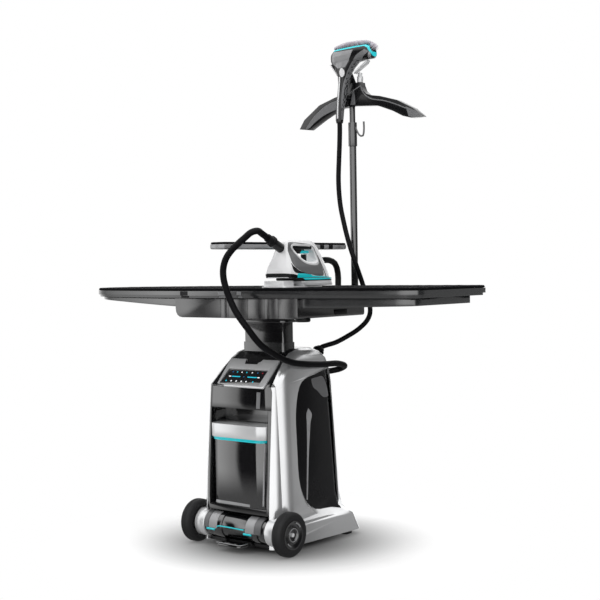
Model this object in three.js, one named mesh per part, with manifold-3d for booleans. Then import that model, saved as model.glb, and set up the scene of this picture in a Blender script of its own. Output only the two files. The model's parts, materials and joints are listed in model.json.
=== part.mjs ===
// Steam ironing station: a wheeled steam tower with a water tank, a telescopic column that
// carries an ironing board, a steam iron, a sleeve board, and a pole with a garment hanger
// and a hand steamer. Millimetres, +Z up, front towards -Y.
import * as THREE from 'three';
import { mergeVertices } from 'three/addons/utils/BufferGeometryUtils.js';
import Module from 'manifold-3d';

const wasm = await Module();
wasm.setup();

// Clearances and tool sizes
const seat = 0.3;
const running = 0.35;
const overrun = 3;
const rodSides = 28;
const arcSteps = 4;

// Tower
const tower = {
  height: 600, halfWidth: 150, depth: 330, wall: 11, skin: 4, fasciaHalf: 124, coverHalf: 98,
  floorGap: 16, deckThick: 10, centreY: 139,
};
const sidePanel = { thick: 3, lip: 26, lipNear: 10, lipFar: 20, overlap: 7 };
const bezel = { halfWidth: 104, topHalf: 98, thick: 5, notchHalf: 27, notchDeep: 13 };
const display = { halfWidth: 79, thick: 3 };
// Heights as shares of the tower's height: the shoulder, the bezel's and the display's ends,
// and the tank body's top, the lid's top and the upper block's foot
const shoulderShare = 0.8;
const bezelShares = [0.8167, 0.9433];
const displayShares = [0.8283, 0.8967];
const bayShares = [0.555, 0.63, 0.71];
const upperBlock = { bottomZ: bayShares[2] * tower.height, recessBack: 62 };
const board = {
  left: -730, right: 668, centreY: 147, halfWidth: 228, topZ: 791, padThick: 8, rimThick: 14, rimStep: 7,
  rimInset: 6, notchX: -171, notchHalf: 14, trayInset: 20, trayThick: 27, cornerCut: 120, cornerRise: 93, sheet: 3,
};
const block = {
  left: -205, right: 278, front: -62, rear: 262, bottomZ: 702, corner: 40, wall: 4, lip: 12, seam: 1.2,
  latchNear: 114, latchFar: 169, latchLow: 708, latchHigh: 724, capX: 256, capY: -10, capRadius: 22, capThick: 10,
};

// Running gear
const wheel = { radius: 66, width: 36, centreX: 183, hubRadius: 30, hubRecess: 5, ringRadius: 24, shoulder: 9 };
const axle = {
  radius: 6, half: 199, housingRadius: 40, collarRadius: 43, centreHalf: 50, innerHalf: 90, outerHalf: 121,
  collarEnd: 160, step: 2,
};
const pedal = { halfWidth: 46, front: -66, rear: -6, z: 20, thick: 6, lip: 12, pinRadius: 3 };

// Water tank
const tank = {
  halfWidth: 108, front: -24, rear: 96, bottomZ: 132, bodyTop: bayShares[0] * tower.height, trimThick: 4,
  lidTop: bayShares[1] * tower.height, wall: 3,
  corner: 36, lidOut: 5, lidWall: 4,
};

// Column
const column = {
  halfWidth: 82.5, halfDepth: 28.3, corner: 8, wall: 3, play: 0.7, sleeveTop: 620, innerBottom: 285, innerTop: 681,
  flangeThick: 8, flangeGrow: 10, neckTop: 701,
};

// Pole, hanger and sleeve board, set out from the board's far edge
const boardFar = board.centreY + board.halfWidth;
const poleProud = 15;
const armProud = 39;
const bracketIn = 45;
const bracketOut = 55;
const steamerAway = 40;
const pole = {
  x: 150, y: boardFar + poleProud, lowerRadius: 11.2, wall: 1.5, upperRadius: 9.3, bottomZ: 722, lowerTop: 1262,
  upperBottom: 960, upperTop: 1382, collarRadius: 14, collarTop: 1307,
};
const hook = { rodRadius: 3, reach: 44, drop: 30 };
const hanger = {
  centreX: 182, span: 478, tipZ: 1302, rise: 104, thick: 26, hubRadius: 10, hubTall: 20, neckRadius: 7.5,
  neckTall: 14, pegX: 141, pegZ: 1384, pegRadius: 7, pegReach: 20,
};
const sleeve = {
  centreX: 68, farY: 400, nearY: -170, halfFar: 52, halfNear: 34, bottomZ: 905, bodyThick: 14, padThick: 7,
};
const arm = {
  x: 65, y: boardFar + armProud, radius: 10, bottomZ: 726, levelZ: 871, bend: 44, reachY: 262, padRadius: 24,
};
const bracket = {
  left: 40, right: 178, front: boardFar - bracketIn, rear: boardFar + bracketOut, bottomZ: 738, thick: 22,
  corner: 14,
};

// Iron
const iron = {
  x: 190, heelY: -37, length: 254, halfWidth: 54, soleThick: 14, trimThick: 7, height: 138, triggerHalf: 7,
  triggerTravel: 4,
};
const boot = {
  fromY: 8, fromZ: 116, embed: 5, rootRadius: 14, tipRadius: 12, length: 62, collarAt: 34, collarLong: 10,
  collarRadius: 16, pitch: 27, bore: 14,
};
const rest = { halfWidth: 46, front: 150, back: 26, thick: 4, ridge: 20, ridgeLong: 46, ribs: 6, rib: 3 };

// Hand steamer
const steamer = {
  left: 108, width: 159, y: pole.y - steamerAway, halfDepth: 23, headHalf: 26, bottomZ: 1303, height: 245, trimHalf: 3,
  lever: 7, leverHalf: 9, bore: 18,
};

// Hoses
const hoses = {
  ironRadius: 9.6, steamerRadius: 7.7, sides: 10, glandRadius: 14, glandFlange: 19, flangeThick: 4, inside: 12,
  outside: 18, ironSteps: 44, steamerSteps: 44,
};
// Where each gland sits on the tower and the way it faces, in the plane of Y and Z
// as shares of the tower's half width, depth and height
const glandShares = { iron: [0.56, 0.9152, 0.8583], steamer: [0.5867, 0.8182, 0.97] };
const glandPitch = { iron: 4, steamer: 34 };
const glandAt = (name) => ({
  x: glandShares[name][0] * tower.halfWidth, y: glandShares[name][1] * tower.depth,
  z: glandShares[name][2] * tower.height, pitch: glandPitch[name],
});
const ironGlandAt = glandAt('iron');
const steamerGlandAt = glandAt('steamer');
// Hose routes between their ends, chosen by hand along the hoses of the picture
const ironRoute = [
  [190, -107, 946], [190, -126, 954], [179, -141, 950], [160, -150, 934], [141, -157, 918], [117, -159, 899],
  [96, -159, 876], [82, -155, 848], [78, -150, 821], [79, -143, 796], [82, -135, 771], [96, -118, 722],
  [119, -96, 675], [127, -50, 626], [132, 2, 596], [139, 49, 574], [144, 91, 562], [149, 208, 550],
  [146, 300, 546], [134, 350, 534], [108, 356, 523],
];
const steamerRoute = [
  [129, 350, 1281], [127, 350, 1234], [124, 350, 1186], [121, 350, 1120], [125, 352, 1048], [138, 354, 984],
  [155, 355, 924], [174, 362, 861], [182, 388, 794], [205, 395, 715], [194, 398, 683], [166, 388, 652],
  [134, 358, 625], [112, 332, 609], [97, 309, 602],
];

const silver = new THREE.MeshStandardMaterial({ color: 0xb9bcbf, roughness: 0.3, metalness: 0.6 });
const darkGloss = new THREE.MeshStandardMaterial({ color: 0x17181a, roughness: 0.15, metalness: 0 });
const greyGloss = new THREE.MeshStandardMaterial({ color: 0x4a4c4f, roughness: 0.25, metalness: 0 });
const matBlack = new THREE.MeshStandardMaterial({ color: 0x101112, roughness: 0.7, metalness: 0 });
const rubber = new THREE.MeshStandardMaterial({ color: 0x1b1b1d, roughness: 0.8, metalness: 0 });
const steel = new THREE.MeshStandardMaterial({ color: 0xc8cacc, roughness: 0.2, metalness: 1 });
const teal = new THREE.MeshStandardMaterial({ color: 0x1fb4c4, roughness: 0.35, metalness: 0 });
const smoked = new THREE.MeshStandardMaterial({ color: 0x3a3c3f, roughness: 0.08, metalness: 0 });
const circuit = new THREE.MeshStandardMaterial({ color: 0x1d5a34, roughness: 0.6, metalness: 0 });
const brass = new THREE.MeshStandardMaterial({ color: 0xb08d4a, roughness: 0.35, metalness: 1 });
const fabric = new THREE.MeshStandardMaterial({ color: 0x0f0f10, roughness: 0.95, metalness: 0 });

const root = new THREE.Group();
const X = new THREE.Vector3(1, 0, 0);
const Y = new THREE.Vector3(0, 1, 0);
const Z = new THREE.Vector3(0, 0, 1);

// Solids and booleans
function solidOf(geometry) {
  const bare = geometry.clone();
  bare.deleteAttribute('normal');
  bare.deleteAttribute('uv');
  const merged = mergeVertices(bare, 1e-4);
  return new wasm.Manifold(new wasm.Mesh({
    numProp: 3,
    vertProperties: new Float32Array(merged.attributes.position.array),
    triVerts: new Uint32Array(merged.index.array),
  }));
}

function geometryOf(solid) {
  const mesh = solid.getMesh();
  const geometry = new THREE.BufferGeometry();
  geometry.setAttribute('position', new THREE.Float32BufferAttribute(Array.from(mesh.vertProperties), 3));
  geometry.setIndex(Array.from(mesh.triVerts));
  geometry.computeVertexNormals();
  return geometry;
}

function add(name, solid, material) {
  const mesh = new THREE.Mesh(geometryOf(solid), material);
  mesh.name = name;
  root.add(mesh);
  return mesh;
}

function box(x0, x1, y0, y1, z0, z1) {
  const geometry = new THREE.BoxGeometry(x1 - x0, y1 - y0, z1 - z0);
  geometry.translate((x0 + x1) / 2, (y0 + y1) / 2, (z0 + z1) / 2);
  return solidOf(geometry);
}

function extrude(shape, depth) {
  return new THREE.ExtrudeGeometry(shape, { depth, bevelEnabled: false, curveSegments: arcSteps });
}

// A shape drawn in X and Y, standing from z0 to z1
function prismZ(shape, z0, z1) {
  const geometry = extrude(shape, z1 - z0);
  geometry.translate(0, 0, z0);
  return solidOf(geometry);
}

// A shape drawn in Y and Z, from x0 to x1
function prismX(shape, x0, x1) {
  const geometry = extrude(shape, x1 - x0);
  geometry.applyMatrix4(new THREE.Matrix4().makeBasis(Y, Z, X));
  geometry.translate(x0, 0, 0);
  return solidOf(geometry);
}

// A shape drawn in X and Z, from y0 to y1
function prismY(shape, y0, y1) {
  const geometry = extrude(shape, y1 - y0);
  geometry.applyMatrix4(new THREE.Matrix4().makeBasis(X, Z, Y.clone().negate()));
  geometry.translate(0, y1, 0);
  return solidOf(geometry);
}

// A polygon whose corners, each given as [u, v, radius], are rounded
function rounded(corners) {
  const shape = new THREE.Shape();
  const count = corners.length;
  corners.forEach(([u, v, radius], i) => {
    const here = new THREE.Vector2(u, v);
    const before = new THREE.Vector2(...corners[(i + count - 1) % count].slice(0, 2)).sub(here);
    const after = new THREE.Vector2(...corners[(i + 1) % count].slice(0, 2)).sub(here);
    const reach = Math.min(radius, before.length() / 2.01, after.length() / 2.01);
    const start = here.clone().add(before.setLength(reach));
    const end = here.clone().add(after.setLength(reach));
    if (i === 0) shape.moveTo(start.x, start.y);
    else shape.lineTo(start.x, start.y);
    if (radius > 0) shape.quadraticCurveTo(u, v, end.x, end.y);
  });
  shape.closePath();
  return shape;
}

function roundedBox(halfX, halfY, radius, centreX, centreY) {
  return rounded([
    [centreX - halfX, centreY - halfY, radius], [centreX + halfX, centreY - halfY, radius],
    [centreX + halfX, centreY + halfY, radius], [centreX - halfX, centreY + halfY, radius],
  ]);
}

// A straight round bar from one point to another, tapering if the second radius differs
function bar(from, to, radius, radiusEnd = radius, sides = rodSides) {
  const start = new THREE.Vector3(...from);
  const end = new THREE.Vector3(...to);
  const run = end.clone().sub(start);
  const geometry = new THREE.CylinderGeometry(radiusEnd, radius, run.length(), sides);
  geometry.applyQuaternion(new THREE.Quaternion().setFromUnitVectors(Y, run.clone().normalize()));
  geometry.translate(...start.add(end).multiplyScalar(0.5));
  return solidOf(geometry);
}

// A closed profile of [radius, along] points turned about X, Y or Z through the origin
function turned(profile, axis, sides = rodSides) {
  const points = profile.map(([r, a]) => new THREE.Vector2(r, a));
  points.push(points[0].clone());
  const geometry = new THREE.LatheGeometry(points, sides);
  geometry.applyQuaternion(new THREE.Quaternion().setFromUnitVectors(Y, axis));
  const solid = solidOf(geometry);
  if (solid.volume() > 0) return solid;
  throw new Error('a turned profile must run anticlockwise');
}

// A closed skin over rings of equally many points
function loft(rings) {
  const count = rings[0].length;
  const positions = rings.flat().flatMap((p) => [p.x, p.y, p.z]);
  const index = [];
  for (let r = 0; r + 1 < rings.length; r += 1) {
    for (let i = 0; i < count; i += 1) {
      const a = r * count + i;
      const b = r * count + ((i + 1) % count);
      index.push(a, b, b + count, a, b + count, a + count);
    }
  }
  const last = (rings.length - 1) * count;
  const flat = rings[0].map((p) => new THREE.Vector2(p.x, p.y));
  THREE.ShapeUtils.triangulateShape(flat, []).forEach(([a, b, c]) => index.push(c, b, a));
  const top = rings.at(-1).map((p) => new THREE.Vector2(p.x, p.y));
  THREE.ShapeUtils.triangulateShape(top, []).forEach(([a, b, c]) => index.push(last + a, last + b, last + c));
  const geometry = new THREE.BufferGeometry();
  geometry.setAttribute('position', new THREE.Float32BufferAttribute(positions, 3));
  geometry.setIndex(index);
  return solidOf(geometry);
}

// A closed skin over convex rings facing any way
function skin(rings) {
  const count = rings[0].length;
  const last = (rings.length - 1) * count;
  const index = [];
  for (let r = 0; r + 1 < rings.length; r += 1) {
    for (let i = 0; i < count; i += 1) {
      const a = r * count + i;
      const b = r * count + ((i + 1) % count);
      index.push(a, b, b + count, a, b + count, a + count);
    }
  }
  for (let i = 1; i + 1 < count; i += 1) index.push(0, i + 1, i, last, last + i, last + i + 1);
  const geometry = new THREE.BufferGeometry();
  const positions = rings.flat().flatMap((p) => [p.x, p.y, p.z]);
  geometry.setAttribute('position', new THREE.Float32BufferAttribute(positions, 3));
  geometry.setIndex(index);
  const solid = solidOf(geometry);
  if (solid.volume() > 0) return solid;
  geometry.setIndex(index.reverse());
  return solidOf(geometry);
}

function tube(points, radius, sides, steps, tension = 0.5) {
  const path = new THREE.CatmullRomCurve3(points.map((p) => new THREE.Vector3(...p)), false, 'centripetal', tension);
  const section = new THREE.Shape();
  for (let i = 0; i < sides; i += 1) {
    const angle = (2 * Math.PI * i) / sides;
    const u = radius * Math.cos(angle);
    const v = radius * Math.sin(angle);
    if (i === 0) section.moveTo(u, v);
    else section.lineTo(u, v);
  }
  section.closePath();
  return solidOf(new THREE.ExtrudeGeometry(section, { steps, extrudePath: path, bevelEnabled: false }));
}

// Tower skin from the floor up, as shares: height over the tower's height, front and rear half
// widths and the corner over its half width, front and rear over its depth
const towerShares = [
  [0.027, 1.013, 1.147, 0.22, -0.067, 1.176],
  [0.118, 1.000, 1.113, 0.22, -0.067, 1.096],
  [0.137, 0.993, 1.060, 0.22, -0.067, 1.052],
  [0.165, 0.987, 0.975, 0.22, -0.065, 1.005],
  [0.235, 0.980, 0.950, 0.22, -0.061, 0.975],
  [0.500, 0.947, 0.920, 0.22, -0.040, 0.945],
  [0.750, 0.907, 0.885, 0.22, -0.020, 0.925],
  [0.825, 0.890, 0.870, 0.22, -0.015, 0.920],
  [0.895, 0.875, 0.855, 0.22, 0.130, 0.900],
  [0.945, 0.850, 0.830, 0.22, 0.234, 0.865],
  [0.980, 0.790, 0.775, 0.24, 0.310, 0.805],
  [1.000, 0.660, 0.650, 0.24, 0.400, 0.735],
];
const slopeShares = towerShares[7];
const slopeFoot = { y: slopeShares[4] * tower.depth, z: slopeShares[0] * tower.height };
const slopeTopShares = towerShares[9];
const slopePitch = Math.atan2((slopeTopShares[0] - slopeShares[0]) * tower.height,
  (slopeTopShares[4] - slopeShares[4]) * tower.depth);

// One level of the tower's skin, drawn in by an inset
function towerRing(shares, inset, drop) {
  const [high, frontHalf, rearHalf, corner, front, rear] = shares;
  const z = high * tower.height - drop;
  const frontX = frontHalf * tower.halfWidth - inset;
  const rearX = rearHalf * tower.halfWidth - inset;
  const frontY = front * tower.depth + inset;
  const rearY = rear * tower.depth - inset;
  const radius = Math.max(corner * tower.halfWidth - inset, seat);
  const corners = [
    [radius - frontX, frontY + radius, Math.PI], [frontX - radius, frontY + radius, Math.PI * 1.5],
    [rearX - radius, rearY - radius, 0], [radius - rearX, rearY - radius, Math.PI * 0.5],
  ];
  return corners.flatMap(([cx, cy, from]) => Array.from({ length: arcSteps + 1 }, (_, i) => {
    const angle = from + (i / arcSteps) * Math.PI * 0.5;
    return new THREE.Vector3(cx + radius * Math.cos(angle), cy + radius * Math.sin(angle), z);
  }));
}

// The tower's whole form drawn in by an inset; an open one runs on below the base
function towerForm(inset, open = false) {
  const rings = towerShares.map((shares, i) => towerRing(shares, inset, i === towerShares.length - 1 ? inset : 0));
  if (open) rings.unshift(rings[0].map((p) => new THREE.Vector3(p.x, p.y, -overrun)));
  return loft(rings);
}

// The space beside the fascia and the top cover, on one side
function besideCover(side, shift) {
  const out = tower.halfWidth * 2;
  const shape = new THREE.Shape([
    [tower.fasciaHalf + shift, -overrun], [out, -overrun], [out, tower.height + overrun],
    [tower.coverHalf + shift, tower.height + overrun], [tower.fasciaHalf + shift, shoulderShare * tower.height],
  ].map(([x, z]) => new THREE.Vector2(side * x, z)));
  return prismY(shape, -tower.depth, tower.depth * 2);
}

function betweenSides(z0, z1) {
  const band = box(-tower.halfWidth * 2, tower.halfWidth * 2, -tower.depth, tower.depth * 2, z0, z1);
  return band.subtract(besideCover(1, -seat)).subtract(besideCover(-1, -seat));
}

function axleSpace(radius, half) {
  return bar([-half, 0, wheel.radius], [half, 0, wheel.radius], radius);
}

// Outline of the inset side panel in Y and Z, as shares of the tower's depth and height, with
// the corner radius as a share of the depth
const sidePanelShares = [
  [0.855, 0.893, 0.03], [0.385, 0.842, 0.12], [0.305, 0.690, 0.26], [0.335, 0.330, 0.30],
  [0.500, 0.180, 0.20], [0.955, 0.165, 0.05], [0.905, 0.520, 0.20],
];

function panelOutline(grow) {
  const middle = [0, 1].map((k) => sidePanelShares.reduce((sum, row) => sum + row[k], 0) / sidePanelShares.length);
  return rounded(sidePanelShares.map(([y, z, radius]) => [
    y * tower.depth + Math.sign(y - middle[0]) * grow, z * tower.height + Math.sign(z - middle[1]) * grow,
    radius * tower.depth,
  ]));
}

// A tapered cutter: the panel's outline, growing outward through the side wall
function panelRecess(side) {
  const nearX = tower.halfWidth - sidePanel.lipFar;
  const farX = tower.halfWidth + sidePanel.lipNear;
  const sections = [[nearX, 0], [farX, sidePanel.lip]].map(([x, grow]) => {
    const points = panelOutline(grow).getPoints(arcSteps).slice(0, -1);
    return points.map((p) => new THREE.Vector3(p.x, p.y, x));
  });
  const cone = loft(sections);
  const turn = new THREE.Matrix4().makeBasis(Y, Z, X);
  const flip = new THREE.Matrix4().makeScale(side, 1, 1).multiply(turn);
  const deep = prismX(panelOutline(0), tower.halfWidth / 2, nearX + seat);
  return cone.transform(flip.elements).add(side > 0 ? deep : deep.mirror([1, 0, 0]));
}

function sideShell(side) {
  return towerForm(0).intersect(besideCover(side, 0)).subtract(towerForm(tower.wall, true))
    .subtract(panelRecess(side)).subtract(axleSpace(axle.collarRadius + seat, wheel.centreX));
}

function sidePanelPiece(side) {
  const near = tower.wall + seat;
  const sheet = towerForm(near, true).subtract(towerForm(near + sidePanel.thick, true));
  const outline = prismX(panelOutline(sidePanel.overlap), tower.coverHalf + sidePanel.overlap, tower.halfWidth * 2);
  const frameBack = tank.rear + tower.skin + seat * 2;
  const beside = besideCover(side, 0).add(box(-tower.halfWidth, tower.halfWidth, frameBack, tower.depth, 0, tower.height));
  return sheet.intersect(side > 0 ? outline : outline.mirror([1, 0, 0])).intersect(beside);
}

function chassisTray() {
  const top = tower.floorGap + tower.deckThick;
  const deck = towerForm(tower.wall + seat, true)
    .intersect(box(-tower.halfWidth * 2, tower.halfWidth * 2, -tower.depth, tower.depth * 2, tower.floorGap, top));
  const wallHalf = axle.outerHalf - seat;
  const saddleRear = axle.housingRadius + tower.wall + sidePanel.overlap;
  const saddle = box(-wallHalf, wallHalf, axle.collarRadius / 2, saddleRear, tower.floorGap, tank.bottomZ - wheel.width / 2);
  const footY = tower.depth * 1.05;
  const feet = [-1, 1].map((side) => prismZ(
    roundedBox(wheel.width / 2, wheel.width / 2, wheel.shoulder, side * tower.halfWidth * 0.86, footY), 0, top));
  const lugs = [-1, 1].map((side) => pedalLug(side));
  let tray = deck.add(saddle);
  feet.concat(lugs).forEach((piece) => { tray = tray.add(piece); });
  return tray.subtract(axleSpace(axle.housingRadius + seat, axle.outerHalf))
    .subtract(collarSpace(1)).subtract(collarSpace(-1)).subtract(pedalPin(running));
}

function collarSpace(side) {
  const z = wheel.radius;
  return bar([side * (axle.outerHalf - seat), 0, z], [side * wheel.centreX, 0, z], axle.collarRadius + seat);
}

const pedalPivotY = towerShares[0][4] * tower.depth + tower.wall / 2;

function pedalLug(side) {
  const near = pedal.halfWidth + seat;
  const far = near + tower.deckThick;
  const xs = [side * near, side * far].sort((a, b) => a - b);
  return box(...xs, pedalPivotY - tower.deckThick / 2, pedalPivotY + tower.deckThick, tower.floorGap,
    tower.floorGap + tower.deckThick);
}

function pedalPin(clear) {
  const reach = pedal.halfWidth + tower.deckThick - sidePanel.thick;
  return bar([-reach, pedalPivotY, pedal.z], [reach, pedalPivotY, pedal.z], pedal.pinRadius + clear);
}

function footPedal() {
  const plateTop = pedal.z + pedal.thick / 2;
  const plan = rounded([
    [-pedal.halfWidth, pedalPivotY, 0], [-pedal.halfWidth, pedal.front, pedal.lip],
    [pedal.halfWidth, pedal.front, pedal.lip], [pedal.halfWidth, pedalPivotY, 0],
  ]);
  const plate = prismZ(plan, pedal.z - pedal.thick / 2, plateTop);
  const tread = box(-pedal.halfWidth / 2, pedal.halfWidth / 2, pedal.front + pedal.lip, pedal.front + pedal.lip * 2,
    plateTop - seat, plateTop + sidePanel.thick);
  return plate.add(tread).add(pedalPin(0));
}

// The bay's frame: two posts, a sill and a back wall round the water tank
function frontFrame() {
  const sill = tank.bottomZ - wheel.width / 2 + seat;
  const back = tank.rear + tower.skin + seat;
  const form = towerForm(0).intersect(betweenSides(sill, upperBlock.bottomZ - seat))
    .intersect(box(-tower.halfWidth, tower.halfWidth, -tower.depth, back, 0, tower.height));
  const bayHalf = tank.halfWidth + tank.lidOut + running * 2;
  const bay = box(-bayHalf, bayHalf, -tower.depth, tank.rear + seat, tank.bottomZ - seat, tower.height);
  const shelf = box(-bayHalf - seat, bayHalf + seat, upperBlock.recessBack, back, tank.lidTop + running * 4,
    upperBlock.bottomZ - seat);
  return form.subtract(bay).add(shelf);
}

function columnPlan(grow, corner) {
  return roundedBox(column.halfWidth + grow, column.halfDepth + grow, corner, 0, tower.centreY);
}

function upperShell() {
  const form = towerForm(0).intersect(betweenSides(upperBlock.bottomZ, tower.height + overrun));
  const hole = prismZ(columnPlan(seat, column.corner), 0, tower.height + overrun);
  const floor = box(-tower.fasciaHalf + tower.skin, tower.fasciaHalf - tower.skin, -tower.depth / 4, upperBlock.recessBack,
    upperBlock.bottomZ, upperBlock.bottomZ + tower.skin);
  return form.subtract(towerForm(tower.skin, true)).add(floor.intersect(towerForm(tower.skin / 2)))
    .subtract(hole).subtract(glandHole(steamerGlandAt)).subtract(glandHole(ironGlandAt));
}

function rearCover() {
  const form = towerForm(0).intersect(betweenSides(towerShares[3][0] * tower.height, upperBlock.bottomZ - seat));
  const rear = box(-tower.halfWidth, tower.halfWidth, tower.depth * 0.8, tower.depth * 2, 0, tower.height);
  const wall = form.intersect(rear).subtract(towerForm(tower.skin, true));
  const slotHalf = tower.fasciaHalf * 0.6;
  const pitch = tower.wall * 1.2;
  let cover = wall;
  for (let i = 0; i < ventSlots; i += 1) {
    const z = tank.bottomZ + i * pitch;
    cover = cover.subtract(box(-slotHalf, slotHalf, tower.depth / 2, tower.depth * 2, z, z + tower.skin));
  }
  return cover;
}

const ventSlots = 7;

// The lower rear skirt between the side shells
function rearSkirt() {
  const top = towerShares[3][0] * tower.height - seat;
  const form = towerForm(0).intersect(betweenSides(tower.floorGap, top));
  const rear = box(-tower.halfWidth, tower.halfWidth, tower.depth * 0.8, tower.depth * 2, 0, tower.height);
  return form.intersect(rear).subtract(towerForm(tower.wall, true));
}

// Puts a solid drawn flat, +Z outward, onto the sloping front
function ontoSlope(solid) {
  const turn = new THREE.Matrix4().makeRotationX(slopePitch);
  turn.setPosition(0, slopeFoot.y, slopeFoot.z);
  return solid.transform(turn.elements);
}

// How far up the sloping front a share of the tower's height lies
function slopeUp(share) {
  return (share * tower.height - slopeFoot.z) / Math.sin(slopePitch);
}

function displayPlan(grow) {
  const low = slopeUp(displayShares[0]) - grow;
  const high = slopeUp(displayShares[1]) + grow;
  const half = display.halfWidth + grow;
  return rounded([[-half, low, display.thick], [half, low, display.thick], [half, high, display.thick],
    [-half, high, display.thick]]);
}

function controlBezel() {
  const low = slopeUp(bezelShares[0]);
  const high = slopeUp(bezelShares[1]);
  const notch = high - bezel.notchDeep;
  const plan = rounded([
    [-bezel.halfWidth, low, bezel.thick], [bezel.halfWidth, low, bezel.thick], [bezel.topHalf, high, bezel.thick],
    [bezel.notchHalf + bezel.thick, high, 0], [bezel.notchHalf, notch, bezel.thick],
    [-bezel.notchHalf, notch, bezel.thick], [-bezel.notchHalf - bezel.thick, high, 0], [-bezel.topHalf, high, bezel.thick],
  ]);
  return ontoSlope(prismZ(plan, seat, bezel.thick).subtract(prismZ(displayPlan(seat), 0, bezel.thick + overrun)));
}

function displayGlass() {
  return ontoSlope(prismZ(displayPlan(0), seat, display.thick));
}

function controlBoard() {
  const inner = tower.skin * Math.sin(slopePitch) + seat;
  const deep = inner + tower.wall;
  const plate = prismZ(displayPlan(-tower.skin), -deep - sidePanel.thick, -deep);
  let piece = plate;
  const reachX = display.halfWidth - tower.wall;
  [slopeUp(displayShares[0]) + tower.wall, slopeUp(displayShares[1]) - tower.wall].forEach((v) => {
    [-reachX, reachX].forEach((u) => {
      piece = piece.add(bar([u, v, -deep - seat], [u, v, -inner], tower.skin, tower.skin, arcSteps * 2));
    });
  });
  return ontoSlope(piece);
}

// Inner works on the chassis deck
const skirtInside = towerShares[2][5] * tower.depth - tower.wall;
const behindColumn = (tower.centreY + column.halfDepth + skirtInside) / 2;
const works = {
  boilerX: -18, boilerY: behindColumn, boilerZ: 84, boilerRadius: 44, boilerHalf: 72, saddleHalf: 8, pumpX: 88, pumpY: behindColumn,
  pumpHalf: 19, pumpLong: 62, pumpTall: 46, valveRadius: 9, valveTall: 34, couplerRadius: 10, couplerLong: 16,
};
const deckTop = tower.floorGap + tower.deckThick + seat;

function boiler() {
  const { boilerX: x, boilerY: y, boilerZ: z, boilerRadius: r, boilerHalf: half } = works;
  const drum = bar([x - half, y, z], [x + half, y, z], r);
  const saddles = [-half / 2, half / 2].map((at) => box(x + at - works.saddleHalf, x + at + works.saddleHalf, y - r / 2,
    y + r / 2, deckTop, z));
  const band = bar([x - works.saddleHalf / 2, y, z], [x + works.saddleHalf / 2, y, z], r + sidePanel.thick);
  const boss = bar([x, y, z], [x, y, z + r + sidePanel.thick * 2], works.valveRadius + sidePanel.thick);
  return drum.add(saddles[0]).add(saddles[1]).add(band).add(boss);
}

function steamValve() {
  const foot = works.boilerZ + works.boilerRadius + sidePanel.thick * 2 + seat;
  const { boilerX: x, boilerY: y } = works;
  const body = bar([x, y, foot], [x, y, foot + works.valveTall], works.valveRadius, works.valveRadius, arcSteps * 2);
  const coil = box(x - works.valveRadius * 1.4, x + works.valveRadius * 1.4, y - works.valveRadius * 1.4,
    y + works.valveRadius * 1.4, foot + works.valveTall / 3, foot + works.valveTall * 0.85);
  const spout = bar([x, y, foot + works.valveTall / 6], [x + works.valveTall, y, foot + works.valveTall / 6],
    works.valveRadius / 2.5, works.valveRadius / 2.5, arcSteps * 2);
  return body.add(coil).add(spout);
}

function waterPump() {
  const { pumpX: x, pumpY: y, pumpHalf: half, pumpLong: long, pumpTall: tall } = works;
  const foot = box(x - half, x + half, y - long / 2, y + long / 2, deckTop, deckTop + tower.skin);
  const motorZ = deckTop + tall / 2 + tower.skin;
  const motor = bar([x, y - long / 2, motorZ], [x, y + long / 2, motorZ], half);
  const web = box(x - half / 2, x + half / 2, y - long / 3, y + long / 3, deckTop, motorZ);
  const head = bar([x, y - long / 2 - tower.wall, motorZ], [x, y - long / 2 + seat, motorZ], half * 0.6);
  return foot.add(motor).add(web).add(head);
}

function tankCoupler() {
  const y = tank.rear + tower.skin + seat * 2;
  const z = tank.bottomZ + works.couplerRadius * 2;
  return bar([0, y, z], [0, y + sidePanel.thick, z], works.couplerRadius)
    .add(bar([0, y, z], [0, y + sidePanel.thick * 2, z], works.couplerRadius / 2));
}

// Water tank, its seal and its lid
function tankPlan(grow) {
  const half = tank.halfWidth + grow;
  const small = tank.corner / 3;
  return rounded([
    [-half, tank.front + tank.lidOut - grow, tank.corner], [half, tank.front + tank.lidOut - grow, tank.corner],
    [half, tank.rear, small], [-half, tank.rear, small],
  ]);
}

function tankInside(bottom, top, grow) {
  const half = tank.halfWidth - tank.wall + grow;
  const corner = tank.corner - tank.wall;
  const plan = rounded([
    [-half, tank.front + tank.lidOut + tank.wall, corner], [half, tank.front + tank.lidOut + tank.wall, corner],
    [half, tank.rear - tank.wall, corner / 3], [-half, tank.rear - tank.wall, corner / 3],
  ]);
  return prismZ(plan, bottom, top);
}

function waterTank() {
  return prismZ(tankPlan(0), tank.bottomZ, tank.bodyTop)
    .subtract(tankInside(tank.bottomZ + tank.wall, tank.bodyTop + overrun, 0));
}

function tankTrim() {
  const z = tank.bodyTop + seat;
  return prismZ(tankPlan(tank.lidOut / 2), z, z + tank.trimThick)
    .subtract(tankInside(z - overrun, z + tank.trimThick + overrun, 0));
}

function tankLid() {
  const z = tank.bodyTop + tank.trimThick + seat * 2;
  const ridge = box(-tank.halfWidth / 2, tank.halfWidth / 2, 0, tower.wall, tank.lidTop - tank.lidWall - tower.wall,
    tank.lidTop - tank.lidWall + seat);
  return prismZ(tankPlan(tank.lidOut), z, tank.lidTop)
    .subtract(tankInside(z - overrun, tank.lidTop - tank.lidWall, 0)).add(ridge);
}

// Wheels and axle
function halfTurn(side, profile) {
  const points = profile.map(([r, a]) => [r, side * a]);
  return turned(side > 0 ? points : points.reverse(), X);
}

function shiftX(solid, x, z) {
  return solid.translate([x, 0, z]);
}

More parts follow.
